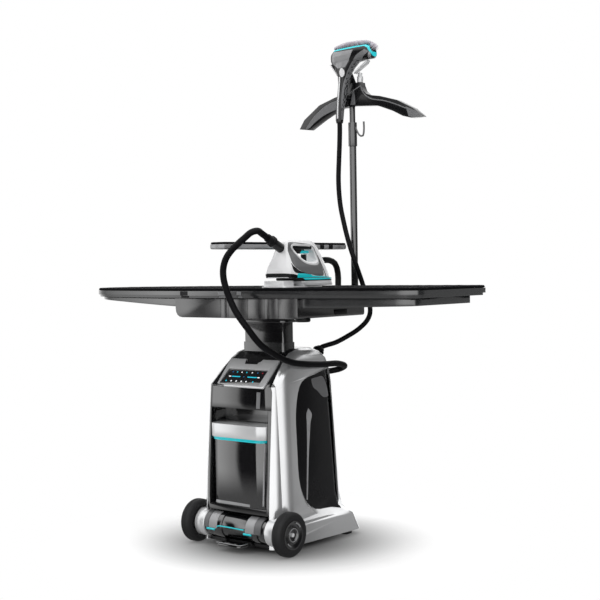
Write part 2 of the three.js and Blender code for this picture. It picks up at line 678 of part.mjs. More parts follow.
function tyre(side) {
  const half = wheel.width / 2;
  const inner = axle.collarRadius + seat;
  const outer = wheel.radius;
  const s = wheel.shoulder;
  const round = Math.SQRT1_2 * s;
  const profile = [
    [inner, -half], [outer - s, -half], [outer - s + round, round - half - s + s], [outer, s - half], [outer, half - s],
    [outer - s + round, half - round], [outer - s, half], [inner, half],
  ];
  profile[2] = [outer - s + round, -half + s - round];
  profile[5] = [outer - s + round, half - s + round];
  return shiftX(halfTurn(side, profile), side * wheel.centreX, wheel.radius);
}

function wheelHub(side) {
  const bore = axle.radius + running;
  const face = wheel.width / 2 - 1.5 * seat;
  const back = face - wheel.hubRecess;
  const rim = axle.collarRadius;
  const ring = wheel.ringRadius;
  const thin = sidePanel.thick;
  const profile = [
    [bore, -face], [rim, -face], [rim, face], [rim - thin, face], [ring + thin * 2, back], [ring + thin, back],
    [ring + thin, face], [ring, face], [ring - thin, back - thin], [bore, back - thin],
  ];
  return shiftX(halfTurn(side, profile), side * wheel.centreX, wheel.radius);
}

function axleHousing() {
  const bore = axle.radius + seat;
  const r = axle.housingRadius;
  const core = r - 2 * axle.step;
  const end = axle.outerHalf;
  const groove = axle.step;
  const profile = [
    [bore, -end], [r - groove, -end], [r - groove, -axle.innerHalf - groove], [core, -axle.innerHalf - groove],
    [core, -axle.innerHalf], [r, -axle.innerHalf], [r, -axle.centreHalf], [core, -axle.centreHalf],
    [core, axle.centreHalf], [r, axle.centreHalf], [r, axle.innerHalf], [core, axle.innerHalf],
    [core, axle.innerHalf + groove], [r - groove, axle.innerHalf + groove], [r - groove, end], [bore, end],
  ];
  return shiftX(turned(profile, X), 0, wheel.radius);
}

function axleCollar(side) {
  const bore = axle.radius + seat;
  const r = axle.collarRadius;
  const soft = axle.step;
  const profile = [
    [bore, axle.outerHalf + seat], [r - soft, axle.outerHalf + seat], [r, axle.outerHalf + seat + soft],
    [r, axle.collarEnd - soft], [r - soft, axle.collarEnd], [bore, axle.collarEnd],
  ];
  return shiftX(halfTurn(side, profile), 0, wheel.radius);
}

add('chassis_tray', chassisTray(), matBlack);
[['left', -1], ['right', 1]].forEach(([hand, side]) => {
  add(`side_shell_${hand}`, sideShell(side), silver);
  add(`side_panel_${hand}`, sidePanelPiece(side), darkGloss);
  add(`axle_collar_${hand}`, axleCollar(side), silver);
  add(`tyre_${hand}`, tyre(side), rubber);
  add(`wheel_hub_${hand}`, wheelHub(side), darkGloss);
});
add('front_frame', frontFrame(), darkGloss);
add('upper_shell', upperShell(), darkGloss);
add('rear_cover', rearCover(), matBlack);
add('rear_skirt', rearSkirt(), silver);
add('control_bezel', controlBezel(), silver);
add('display_glass', displayGlass(), darkGloss);
add('control_board', controlBoard(), circuit);
add('boiler', boiler(), steel);
add('steam_valve', steamValve(), brass);
add('water_pump', waterPump(), matBlack);
add('tank_coupler', tankCoupler(), brass);
add('water_tank', waterTank(), smoked);
add('tank_trim', tankTrim(), teal);
add('tank_lid', tankLid(), silver);
add('axle_shaft', axleSpace(axle.radius, axle.half), steel);
add('axle_housing', axleHousing(), greyGloss);
add('foot_pedal', footPedal(), darkGloss);

// Hose glands: a flanged sleeve through the tower's top, its bore holding the hose's end
function glandLine(at, along) {
  const pitch = THREE.MathUtils.degToRad(at.pitch);
  return [at.x, at.y + along * Math.cos(pitch), at.z + along * Math.sin(pitch)];
}

function glandHole(at) {
  return bar(glandLine(at, -hoses.inside * 2), glandLine(at, hoses.outside * 2), hoses.glandRadius + seat,
    hoses.glandRadius + seat, arcSteps * 4);
}

function hoseGland(at, radius) {
  const sides = arcSteps * 4;
  const barrel = bar(glandLine(at, -hoses.inside), glandLine(at, hoses.outside), hoses.glandRadius,
    hoses.glandRadius, sides);
  const bore = bar(glandLine(at, 0), glandLine(at, hoses.outside + overrun), radius + seat, radius + seat, sides);
  const channel = bar(glandLine(at, -hoses.inside - overrun), glandLine(at, overrun), radius / 2, radius / 2, sides);
  const flange = bar(glandLine(at, hoses.flangeThick), glandLine(at, hoses.flangeThick * 2), hoses.glandFlange,
    hoses.glandFlange, sides);
  return barrel.add(flange.subtract(towerForm(0))).subtract(bore).subtract(channel);
}

// Telescopic column
function columnSleeve() {
  const inside = columnPlan(-column.wall, column.corner - column.wall);
  return prismZ(columnPlan(0, column.corner), deckTop, column.sleeveTop)
    .subtract(prismZ(inside, deckTop + column.wall, column.sleeveTop + overrun));
}

function innerColumn() {
  const grow = -column.wall - column.play;
  const corner = column.corner - column.wall;
  const inside = columnPlan(grow - column.wall, corner - column.wall / 2);
  return prismZ(columnPlan(grow, corner), column.innerBottom, column.innerTop)
    .subtract(prismZ(inside, column.innerBottom - overrun, column.innerTop - column.wall));
}

function headFlange() {
  const low = column.innerTop + seat;
  const plate = prismZ(columnPlan(column.flangeGrow, column.corner * 2), low, low + column.flangeThick);
  return plate.add(prismZ(columnPlan(0, column.corner), low, block.bottomZ - seat));
}

// Outline of the board from its left tip round its near half, as shares of its length and half width
const boardShares = [
  [0, 0], [0.0138, 0.289], [0.048, 0.491], [0.104, 0.636], [0.2, 0.789], [0.304, 0.912], [0.408, 0.982],
  [0.546, 1], [0.685, 0.974], [0.823, 0.899], [0.955, 0.848], [0.987, 0.825], [0.998, 0.76], [1, 0.6],
];
const boardCurve = (() => {
  const near = boardShares.map(([along, out]) => new THREE.Vector3(along, -out, 0));
  const far = boardShares.slice(1).reverse().map(([along, out]) => new THREE.Vector3(along, out, 0));
  const curve = new THREE.CatmullRomCurve3(near.concat(far), true, 'centripetal');
  return curve.getPoints((near.length + far.length) * 2).slice(0, -1);
})();

function boardPoints(inset) {
  const middle = (board.left + board.right) / 2;
  const half = (board.right - board.left) / 2;
  return boardCurve.map((p) => new THREE.Vector2(
    middle + (p.x * 2 - 1) * (half - inset), board.centreY + p.y * (board.halfWidth - inset)));
}

function boardOutline(inset) {
  return new THREE.Shape(boardPoints(inset));
}

const rimTop = board.topZ - board.padThick - seat;
const rimLow = rimTop - board.rimThick;
const rimFoot = rimLow - board.rimStep;
const trayTop = rimFoot - seat;
const trayBottom = trayTop - board.trayThick;

function boardPad() {
  // Each level of the pad: its height as a share of the thickness and its inset as a share of it
  const padShares = [[0, 0.25], [0.3, 0], [0.75, 0.05], [0.95, 0.3], [1, 0.7]];
  return loft(padShares.map(([high, inset]) => boardPoints(inset * board.padThick)
    .map((p) => new THREE.Vector3(p.x, p.y, board.topZ - board.padThick + high * board.padThick))));
}

function boardRim() {
  const notch = box(board.notchX - board.notchHalf, board.notchX + board.notchHalf, -board.halfWidth,
    board.centreY - board.halfWidth + board.rimInset, rimFoot, rimTop);
  return prismZ(boardOutline(0), rimLow, rimTop).add(prismZ(boardOutline(board.rimInset), rimFoot, rimLow))
    .subtract(prismZ(boardOutline(board.rimInset + block.wall), rimFoot - overrun, rimTop - board.sheet))
    .subtract(notch);
}

// Underside of the tray along the board: share of the length, and height left above as a share
const trayShares = [[0, 0.15], [0.035, 0.3], [0.165, 0.55], [0.342, 0.93], [0.379, 1], [0.785, 1], [0.978, 0.78], [1, 0.74]];

function trayForm(inset, raise) {
  const under = trayShares.map(([along, deep]) => [
    board.left + along * (board.right - board.left), trayTop - deep * board.trayThick + raise,
  ]);
  const high = trayTop + raise;
  const side = [[board.left - overrun, under[0][1]], ...under, [board.right + overrun, under.at(-1)[1]],
    [board.right + overrun, high], [board.left - overrun, high]];
  const profile = new THREE.Shape(side.map(([x, z]) => new THREE.Vector2(x, z)));
  return prismZ(boardOutline(board.trayInset + inset), trayBottom - overrun, high)
    .intersect(prismY(profile, -board.halfWidth, board.centreY + board.halfWidth + overrun));
}

function boardTray() {
  const far = board.centreY + board.halfWidth;
  const cut = board.cornerCut;
  const corner = (shift) => prismZ(new THREE.Shape([
    new THREE.Vector2(board.right - cut - shift, far), new THREE.Vector2(board.right, board.centreY + board.cornerRise - shift),
    new THREE.Vector2(board.right, far),
  ]), trayBottom - overrun, trayTop + board.trayThick);
  const lipSpace = box(block.left - seat, block.right + seat, block.front - overrun, block.front + block.lip + seat,
    trayBottom - overrun, trayTop + overrun);
  const pocketLip = box(block.left - block.wall, block.right + block.wall, block.front - overrun,
    block.front + block.lip + block.wall, trayBottom - overrun, trayTop + board.trayThick);
  const pocket = trayForm(board.sheet, board.sheet).subtract(corner(board.sheet)).subtract(pocketLip);
  return trayForm(0, 0).subtract(corner(0)).subtract(lipSpace).subtract(pocket);
}

// Vertical seams on the near face of the block, as shares of its length
const seamShares = [0.391, 0.458, 0.613, 0.749, 0.851];

function boardBlock() {
  const { left, right, front, rear, bottomZ, corner, wall } = block;
  const top = trayBottom - seat;
  const side = rounded([
    [left, trayTop, 0], [left, bottomZ, corner], [right, bottomZ, wall * 2], [right, trayTop, 0],
  ]);
  const inside = rounded([
    [left + wall, top + overrun, 0], [left + wall, bottomZ + wall, corner - wall],
    [right - wall, bottomZ + wall, wall], [right - wall, top + overrun, 0],
  ]);
  const above = box(left - overrun, right + overrun, front + block.lip, rear + overrun, top, trayTop + overrun);
  let body = prismY(side, front, rear).subtract(above).subtract(prismY(inside, front + block.lip, rear - wall));
  seamShares.forEach((share) => {
    const x = left + share * (right - left);
    body = body.subtract(box(x - block.seam / 2, x + block.seam / 2, front - overrun, front + block.seam,
      bottomZ - overrun, trayTop + overrun));
  });
  return body;
}

function blockLatch() {
  const x = block.right + seat;
  return box(x, x + board.sheet, block.latchNear, block.latchFar, block.latchLow, block.latchHigh);
}

function blockCap() {
  const top = block.bottomZ - seat;
  const profile = [
    [0, top - block.capThick], [block.capRadius - board.sheet, top - block.capThick],
    [block.capRadius, top - block.capThick + board.sheet], [block.capRadius, top], [0, top],
  ];
  return turned(profile, Z, arcSteps * 6).translate([block.capX, block.capY, 0]);
}

function rearBracket() {
  const plan = rounded([
    [bracket.left, bracket.front, 0], [bracket.right, bracket.front, 0], [bracket.right, bracket.rear, bracket.corner],
    [bracket.left, bracket.rear, bracket.corner],
  ]);
  const below = bracket.bottomZ - overrun;
  const above = bracket.bottomZ + bracket.thick + overrun;
  return prismZ(plan, bracket.bottomZ, Math.min(bracket.bottomZ + bracket.thick, rimFoot - seat))
    .subtract(prismZ(boardOutline(board.trayInset - seat), below, above))
    .subtract(bar([pole.x, pole.y, below], [pole.x, pole.y, above], pole.lowerRadius + seat))
    .subtract(bar([arm.x, arm.y, below], [arm.x, arm.y, above], arm.radius + running));
}

function ironRest() {
  const z = board.topZ + seat;
  const mat = prismZ(roundedBox(rest.halfWidth, (rest.front + rest.back) / 2, rest.rib * 3, iron.x,
    iron.heelY + (rest.front - rest.back) / 2), z, z + rest.thick);
  const ridgeHalf = rest.halfWidth * 0.8;
  let ridge = box(iron.x - ridgeHalf, iron.x + ridgeHalf, iron.heelY - rest.ridgeLong / 2, iron.heelY + rest.ridgeLong / 2,
    z, z + rest.ridge);
  const pitch = (2 * ridgeHalf) / rest.ribs;
  for (let i = 1; i < rest.ribs; i += 1) {
    const x = iron.x - ridgeHalf + i * pitch;
    ridge = ridge.subtract(box(x - rest.rib / 2, x + rest.rib / 2, iron.heelY - rest.ridgeLong, iron.heelY + rest.ridgeLong,
      z + rest.ridge - rest.rib, z + rest.ridge + overrun));
  }
  return mat.add(ridge);
}

// Pole, collar and hanger
function poleLower() {
  const { x, y, lowerRadius: r } = pole;
  return bar([x, y, pole.bottomZ], [x, y, pole.lowerTop], r)
    .subtract(bar([x, y, pole.bottomZ + pole.wall], [x, y, pole.lowerTop + overrun], r - pole.wall));
}

function poleUpper() {
  return bar([pole.x, pole.y, pole.upperBottom], [pole.x, pole.y, pole.upperTop], pole.upperRadius);
}

function poleCollar() {
  const { x, y, collarRadius: r } = pole;
  const low = pole.lowerTop - hook.drop;
  const skirt = bar([x, y, low], [x, y, pole.collarTop], r);
  const rod = tube([
    [x + r * 0.8, y, pole.collarTop - hook.drop / 2], [x + r + hook.reach * 0.3, y, pole.lowerTop + hook.rodRadius],
    [x + hook.reach * 0.9, y, pole.lowerTop], [x + hook.reach, y, pole.lowerTop + hook.drop / 2],
    [x + hook.reach, y, pole.collarTop],
  ], hook.rodRadius, arcSteps * 2, arcSteps * 3);
  return skirt.add(rod)
    .subtract(bar([x, y, low - overrun], [x, y, pole.lowerTop + seat], pole.lowerRadius + seat))
    .subtract(bar([x, y, pole.lowerTop], [x, y, pole.collarTop + overrun], pole.upperRadius + running));
}

// Outline of the garment hanger from its left tip, as shares of its span, rise and corner radius
const hangerShares = [
  [-0.498, 0, 0], [-0.414, -0.048, 0], [-0.293, 0.24, 0], [-0.163, 0.5, 1], [-0.046, 0.538, 0], [0.153, 0.462, 1],
  [0.274, 0.25, 0], [0.351, 0.067, 0], [0.412, -0.01, 0], [0.498, 0, 0], [0.429, 0.269, 0], [0.308, 0.558, 0],
  [0.174, 0.74, 0], [0.111, 0.79, 0], [0.067, 0.856, 0], [0.042, 0.962, 0], [0.027, 1.096, 0], [0.022, 1.23, 0],
  [-0.056, 1.23, 0], [-0.065, 1.12, 0], [-0.085, 1.02, 0], [-0.12, 0.93, 0], [-0.195, 0.856, 0], [-0.324, 0.683, 0],
  [-0.456, 0.279, 0],
];
const hangerTop = hanger.tipZ + hanger.rise * Math.max(...hangerShares.map(([, high]) => high));

function hangerBody() {
  const outline = rounded(hangerShares.map(([along, high, soft]) => [
    hanger.centreX + along * hanger.span, hanger.tipZ + high * hanger.rise, soft * hanger.hubRadius,
  ]));
  const half = hanger.thick / 2;
  const top = hangerTop;
  const { pegX, pegZ, pegRadius } = hanger;
  return prismY(outline, pole.y - half, pole.y + half)
    .subtract(bar([pole.x, pole.y, hanger.tipZ], [pole.x, pole.y, pole.upperTop + seat], pole.upperRadius + running))
    .subtract(bar([hanger.centreX, pole.y, top - hanger.hubRadius * 2], [hanger.centreX, pole.y, top + overrun],
      hanger.neckRadius + seat))
    .add(bar([pegX, pole.y - half + seat, pegZ], [pegX, pole.y - half - hanger.pegReach, pegZ], pegRadius, pegRadius,
      arcSteps * 4));
}

function hangerNeck() {
  const top = hangerTop;
  const { neckRadius: r, hubRadius } = hanger;
  const hubTop = top + hanger.hubTall;
  const neckTop = hubTop + hanger.neckTall;
  const profile = [
    [0, top - hubRadius * 2 + seat], [r, top - hubRadius * 2 + seat], [r, top + seat], [hubRadius, top + seat],
    [hubRadius, hubTop - seat], [r, hubTop], [r, neckTop - r / 2], [r / 2, neckTop], [0, neckTop],
  ];
  return turned(profile, Z, arcSteps * 5).translate([hanger.centreX, pole.y, 0]);
}

// Sleeve board on its swinging arm
function sleeveArm() {
  const { x, y, radius, bottomZ, levelZ, bend, reachY } = arm;
  const soft = bend * (1 - Math.SQRT1_2);
  const top = sleeve.bottomZ - seat;
  const rod = tube([
    [x, y, bottomZ], [x, y, levelZ - bend * 2], [x, y, levelZ - bend], [x, y - soft, levelZ - soft], [x, y - bend, levelZ],
    [x, y - bend * 2, levelZ], [x, reachY, levelZ],
  ], radius, arcSteps * 3, arcSteps * 4);
  const post = bar([x, reachY, levelZ - radius], [x, reachY, top], radius, radius, arcSteps * 3);
  const pad = bar([x, reachY, top - radius / 2], [x, reachY, top], arm.padRadius, arm.padRadius, arcSteps * 6);
  const stop = bar([x, y, bracket.bottomZ + bracket.thick + seat], [x, y, bracket.bottomZ + bracket.thick + radius],
    radius * 1.5, radius * 1.5, arcSteps * 5);
  return rod.add(post).add(pad).add(stop);
}

// The sleeve board's outline from its far end to its near nose: share of the length and half width
const sleeveShares = [[0, 0.8], [0.02, 0.97], [0.06, 1], [0.5, 0.93], [0.9, 0.72], [0.96, 0.66], [0.99, 0.52], [1, 0.2]];

function sleevePoints(inset) {
  const long = sleeve.farY - sleeve.nearY;
  const side = (sign) => sleeveShares.map(([along, out]) => new THREE.Vector2(
    sleeve.centreX + sign * (out * sleeve.halfFar - inset), sleeve.farY - inset - along * (long - 2 * inset)));
  return side(1).reverse().concat(side(-1));
}

function sleeveBody() {
  const { bottomZ, bodyThick } = sleeve;
  const rings = [[board.sheet, 0], [0, board.sheet], [0, bodyThick]].map(([inset, high]) => sleevePoints(inset)
    .map((p) => new THREE.Vector3(p.x, p.y, bottomZ + high)));
  return loft(rings);
}

function sleevePad() {
  const low = sleeve.bottomZ + sleeve.bodyThick + seat;
  const padShares = [[0, 0.2], [0.35, 0], [0.9, 0.3], [1, 0.9]];
  return loft(padShares.map(([high, inset]) => sleevePoints(inset * sleeve.padThick)
    .map((p) => new THREE.Vector3(p.x, p.y, low + high * (sleeve.padThick - seat)))));
}

// Iron: plan outline from heel to toe, as shares of a level's length and half width
const ironPlanShares = [
  [0, 0.7], [0.03, 0.92], [0.12, 1], [0.4, 0.96], [0.6, 0.82], [0.78, 0.57], [0.9, 0.31], [0.97, 0.12], [1, 0.02],
];
// Levels as shares: height, half width, rear and toe over the iron's height, half width and length
const ironBodyShares = [
  [0.195, 0.94, -0.025, 0.95], [0.275, 0.963, -0.035, 0.93], [0.435, 0.852, -0.015, 0.885], [0.616, 0.667, 0.02, 0.82],
  [0.761, 0.5, 0.04, 0.76], [0.906, 0.41, 0.052, 0.71], [1, 0.26, 0.07, 0.64],
];
const ironSideShares = [
  [-0.036, 0.198, 0.05], [0.96, 0.196, 0.01], [0.69, 0.877, 0.08],
  [0.6, 0.985, 0.1], [0.2, 1, 0.1], [0.055, 0.985, 0.05], [0.035, 0.761, 0.05], [-0.036, 0.33, 0.02],
];
const ironOpeningShares = [
  [0.134, 0.84, 0.03], [0.165, 0.877, 0.03], [0.52, 0.862, 0.04], [0.56, 0.79, 0.05], [0.58, 0.555, 0.04],
  [0.36, 0.52, 0.06], [0.25, 0.6, 0.06],
];
const ironBase = board.topZ + seat + rest.thick + seat;

function ironRing(z, half, rear, toe) {
  const side = (sign) => ironPlanShares.map(([along, out]) => new THREE.Vector3(
    iron.x + sign * out * half, iron.heelY + rear + along * (toe - rear), z));
  return side(1).concat(side(-1).reverse());
}

function ironSide(shares, grow = 0) {
  return prismX(rounded(shares.map(([along, high, radius]) => [
    iron.heelY + along * iron.length, ironBase - rest.thick + high * iron.height, radius * iron.length,
  ])), iron.x - iron.halfWidth * 2 - grow, iron.x + iron.halfWidth * 2 + grow);
}

function ironHigh(share) {
  return ironBase - rest.thick + share * iron.height;
}

function ironSoleplate() {
  const { halfWidth: half, length } = iron;
  const rings = [[0, 0.95, 0.235, 0.995], [0.15, 0.97, 0.228, 1], [1, 0.95, 0.22, 0.99]];
  return loft(rings.map(([high, wide, rear, toe]) => ironRing(ironBase + high * iron.soleThick, wide * half,
    rear * length, toe * length)));
}

function ironTrim() {
  const low = ironBase + iron.soleThick + seat;
  const high = ironHigh(ironBodyShares[0][0]) - seat;
  return loft([[low, 0.94], [(low + high) / 2, 1], [high, 0.98]].map(([z, wide]) => ironRing(z, wide * iron.halfWidth,
    iron.length * 0.16, iron.length * 0.985)));
}

const triggerShares = { near: 0.24, far: 0.39, low: 0.71, high: 0.885 };

function ironTriggerBox(grow, rise) {
  const { triggerHalf: half, heelY, length } = iron;
  return box(iron.x - half - grow, iron.x + half + grow, heelY + triggerShares.near * length - grow,
    heelY + triggerShares.far * length + grow, ironHigh(triggerShares.low), ironHigh(triggerShares.high) + rise);
}

function ironBody() {
  const form = loft(ironBodyShares.map(([high, wide, rear, toe]) => ironRing(ironHigh(high), wide * iron.halfWidth,
    rear * iron.length, toe * iron.length)));
  return form.intersect(ironSide(ironSideShares)).subtract(ironSide(ironOpeningShares, overrun))
    .subtract(ironTriggerBox(running, iron.triggerTravel + seat));
}

function ironTrigger() {
  const { heelY, length, triggerHalf: half } = iron;
  const y = heelY + triggerShares.far * length;
  const notch = bar([iron.x - half * 2, y, ironHigh(triggerShares.low)], [iron.x + half * 2, y, ironHigh(triggerShares.low)],
    half, half, arcSteps * 5);
  return ironTriggerBox(0, 0).subtract(notch);
}

function bootLine(along) {
  const pitch = THREE.MathUtils.degToRad(boot.pitch);
  return [iron.x, iron.heelY + boot.fromY - along * Math.cos(pitch), board.topZ + boot.fromZ + along * Math.sin(pitch)];
}

function ironHoseBoot() {
  const sides = arcSteps * 5;
  const cone = bar(bootLine(-boot.embed), bootLine(boot.length), boot.rootRadius, boot.tipRadius, sides);
  const collar = bar(bootLine(boot.collarAt), bootLine(boot.collarAt + boot.collarLong), boot.collarRadius,
    boot.collarRadius, sides);
  const bore = bar(bootLine(boot.length - boot.bore), bootLine(boot.length + overrun), hoses.ironRadius + seat,
    hoses.ironRadius + seat, sides);
  const body = ironBody();
  return cone.add(collar).subtract(bore).subtract(body.translate([0, -seat, 0])).subtract(body.translate([0, seat * 4, 0]));
}

// Hand steamer: head sections along X and handle sections up Z, as shares of its width, height
// and half depths: where, centre, half across, half deep
const headShares = [
  [0, 0.812, 0.039, 0.35], [0.02, 0.829, 0.082, 0.7], [0.11, 0.835, 0.12, 0.95], [0.32, 0.845, 0.127, 1],
  [0.62, 0.861, 0.11, 1], [0.84, 0.863, 0.096, 1], [0.95, 0.847, 0.076, 0.9], [1, 0.833, 0.041, 0.5],
];
const handleShares = [
  [0, 0.132, 0.062, 0.43], [0.02, 0.132, 0.068, 0.47], [0.04, 0.132, 0.073, 0.5], [0.171, 0.146, 0.079, 0.55],
  [0.331, 0.192, 0.086, 0.59], [0.494, 0.24, 0.099, 0.68], [0.588, 0.258, 0.122, 0.78], [0.682, 0.28, 0.21, 0.91],
  [0.77, 0.34, 0.306, 1],
];

function oval(centre, across, deep, place) {
  const sides = arcSteps * 4;
  return Array.from({ length: sides }, (_, i) => {
    const angle = (2 * Math.PI * i) / sides;
    const square = (v) => Math.sign(v) * Math.sqrt(Math.abs(v)) * 0.35 + v * 0.65;
    return place(centre + across * square(Math.cos(angle)), deep * square(Math.sin(angle)));
  });
}

function steamerHead() {
  const { left, width, y, bottomZ, height, headHalf } = steamer;
  return skin(headShares.map(([at, centre, across, deep]) => oval(centre * height, across * height, deep * headHalf,
    (v, w) => new THREE.Vector3(left + at * width, y + w, bottomZ + v))));
}

function steamerHandle() {
  const { left, width, y, bottomZ, height, halfDepth } = steamer;
  return skin(handleShares.map(([at, centre, across, deep]) => oval(centre * width, across * width, deep * halfDepth,
    (v, w) => new THREE.Vector3(left + v, y + w, bottomZ + at * height))));
}

// The part of the head above the trim line, which runs level and then down over the nose
const trimLineShares = [
  [-0.1, 0.92], [0.85, 0.938], [0.93, 0.91], [0.99, 0.84], [1.04, 0.74], [1.4, 0.74], [1.4, 1.2], [-0.1, 1.2],
];

function aboveTrim(shift) {
  const { left, width, bottomZ, height, y, headHalf } = steamer;
  const shape = new THREE.Shape(trimLineShares.map(([at, high]) => new THREE.Vector2(
    left + at * width + shift / 2, bottomZ + high * height + shift)));
  return prismY(shape, y - headHalf * 2, y + headHalf * 2);
}

function handsetBody() {
  const { y, bottomZ, bore } = steamer;
  const { pegX, pegZ, pegRadius } = hanger;
  const pegFace = pole.y - hanger.thick / 2 - hanger.pegReach - seat;
  const [hoseX] = steamerRoute[0];
  return steamerHead().add(steamerHandle()).subtract(aboveTrim(-steamer.trimHalf))
    .subtract(bar([pegX, pegFace, pegZ], [pegX, pole.y, pegZ], pegRadius + running, pegRadius + running, arcSteps * 4))
    .subtract(bar([hoseX, y, bottomZ - overrun], [hoseX, y, bottomZ + bore], hoses.steamerRadius + seat));
}

function handsetTrim() {
  const near = steamer.trimHalf - seat;
  return steamerHead().intersect(aboveTrim(-near)).subtract(aboveTrim(near));
}

function handsetFace() {
  return steamerHead().intersect(aboveTrim(steamer.trimHalf));
}

// The lever below the head, from the handle to the head's nose
const leverShares = [[0.53, 0.608], [0.83, 0.7185]];

function leverPoint([at, high], drop = 0) {
  return [steamer.left + at * steamer.width, steamer.y, steamer.bottomZ + high * steamer.height - drop];
}

function handsetTrigger() {
  const [from, to] = leverShares.map((row) => leverPoint(row));
  const blade = new THREE.Shape([
    new THREE.Vector2(from[0], from[2]), new THREE.Vector2(to[0], to[2]),
    new THREE.Vector2(to[0], to[2] + steamer.lever), new THREE.Vector2(from[0], from[2] + steamer.lever),
  ]);
  const { y, leverHalf, lever } = steamer;
  const pin = bar([to[0], y - leverHalf, to[2] + lever], [to[0], y + leverHalf, to[2] + lever], lever * 0.6, lever * 0.6,
    arcSteps * 3);
  return prismY(blade, y - leverHalf, y + leverHalf).add(pin);
}

// Hoses, each ending along its gland's line at these shares of the gland's outer length
const endShares = [1.4, 1, 0.5, 0.1];

function ironHose() {
  const end = endShares.map((share) => glandLine(ironGlandAt, share * hoses.outside));
  const start = [boot.length - boot.bore + seat, boot.length].map((along) => bootLine(along));
  return tube(start.concat(ironRoute, end), hoses.ironRadius, hoses.sides, hoses.ironSteps);
}

function handsetHose() {
  const [x, y] = steamerRoute[0];
  const start = [steamer.bore - seat, 0].map((up) => [x, y, steamer.bottomZ + up]);
  const end = endShares.map((share) => glandLine(steamerGlandAt, share * hoses.outside));
  return tube(start.concat(steamerRoute, end), hoses.steamerRadius, hoses.sides, hoses.steamerSteps);
}

add('iron_hose_gland', hoseGland(ironGlandAt, hoses.ironRadius), matBlack);
add('handset_hose_gland', hoseGland(steamerGlandAt, hoses.steamerRadius), matBlack);
add('column_sleeve', columnSleeve(), greyGloss);
add('inner_column', innerColumn(), darkGloss);
add('head_flange', headFlange(), darkGloss);
add('board_block', boardBlock(), darkGloss);
add('block_latch', blockLatch(), matBlack);
add('block_cap', blockCap(), matBlack);
add('board_tray', boardTray(), greyGloss);
add('board_rim', boardRim(), greyGloss);
add('board_pad', boardPad(), fabric);
add('rear_bracket', rearBracket(), matBlack);
add('iron_rest', ironRest(), silver);
add('pole_lower', poleLower(), matBlack);
add('pole_upper', poleUpper(), matBlack);
add('pole_collar', poleCollar(), matBlack);
add('hanger_body', hangerBody(), matBlack);
add('hanger_neck', hangerNeck(), silver);
add('sleeve_arm', sleeveArm(), matBlack);
add('sleeve_body', sleeveBody(), greyGloss);
add('sleeve_pad', sleevePad(), fabric);
add('iron_soleplate', ironSoleplate(), steel);
add('iron_trim', ironTrim(), teal);
add('iron_body', ironBody(), silver);
add('iron_trigger', ironTrigger(), teal);
add('iron_hose_boot', ironHoseBoot(), matBlack);
add('handset_body', handsetBody(), matBlack);
add('handset_trim', handsetTrim(), teal);
add('handset_face', handsetFace(), darkGloss);
add('handset_trigger', handsetTrigger(), silver);
const freeForms = [
  add('iron_hose', ironHose(), rubber),
  add('handset_hose', handsetHose(), rubber),
];

// The part's origin is the middle of the underside of its box, hoses left out
const bounds = new THREE.Box3();
root.children.filter((mesh) => !freeForms.includes(mesh)).forEach((mesh) => bounds.expandByObject(mesh));
const middle = bounds.getCenter(new THREE.Vector3());
root.children.forEach((mesh) => mesh.geometry.translate(-middle.x, -middle.y, -bounds.min.z));
export default root;
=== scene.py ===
"""Studio scene of a steam ironing station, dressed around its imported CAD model.

Each sub-assembly of the station is a class that holds its sizes, builds its
detailed meshes and gives the carried-over CAD nodes their finish. Lengths are
metres in the part's own frame: +Z up, the water tank faces -Y.
"""

from __future__ import annotations

import json
import logging
import math
import random
from dataclasses import dataclass, replace
from enum import Enum
from itertools import accumulate
from typing import Any, Callable, Mapping, Sequence

import bmesh
import bpy
from mathutils import Matrix, Vector
from mathutils.bvhtree import BVHTree

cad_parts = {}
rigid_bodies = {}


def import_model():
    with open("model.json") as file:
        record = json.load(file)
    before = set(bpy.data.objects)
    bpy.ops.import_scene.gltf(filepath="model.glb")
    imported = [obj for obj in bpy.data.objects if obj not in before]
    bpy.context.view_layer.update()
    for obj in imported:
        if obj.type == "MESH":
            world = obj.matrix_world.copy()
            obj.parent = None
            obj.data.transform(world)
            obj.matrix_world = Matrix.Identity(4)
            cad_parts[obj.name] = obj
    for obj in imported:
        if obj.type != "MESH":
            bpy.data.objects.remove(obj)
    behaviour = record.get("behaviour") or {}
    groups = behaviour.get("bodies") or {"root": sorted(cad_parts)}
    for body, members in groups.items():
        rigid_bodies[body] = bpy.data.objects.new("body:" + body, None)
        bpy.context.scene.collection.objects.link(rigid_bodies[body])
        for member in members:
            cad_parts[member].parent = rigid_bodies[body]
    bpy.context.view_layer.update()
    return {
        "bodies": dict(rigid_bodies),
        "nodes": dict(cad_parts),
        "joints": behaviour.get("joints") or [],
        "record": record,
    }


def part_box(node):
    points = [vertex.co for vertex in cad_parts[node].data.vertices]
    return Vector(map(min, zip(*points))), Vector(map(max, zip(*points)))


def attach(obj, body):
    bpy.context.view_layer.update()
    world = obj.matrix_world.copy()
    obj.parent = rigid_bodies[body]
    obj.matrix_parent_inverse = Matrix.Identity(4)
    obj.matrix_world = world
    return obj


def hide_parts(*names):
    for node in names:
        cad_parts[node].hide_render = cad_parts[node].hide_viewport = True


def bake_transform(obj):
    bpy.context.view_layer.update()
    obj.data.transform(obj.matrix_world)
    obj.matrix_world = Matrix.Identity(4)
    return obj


LOG = logging.getLogger("ironing_station")
MM = 0.001
TOWER_X = 30.29892
TOWER_Y = -130.0
Triple = tuple[float, float, float]
Colour = Triple
Frame = Mapping[str, Any]
Spots = Sequence[tuple[float, float]]
Shape = tuple[list[Vector], list[list[int]]]


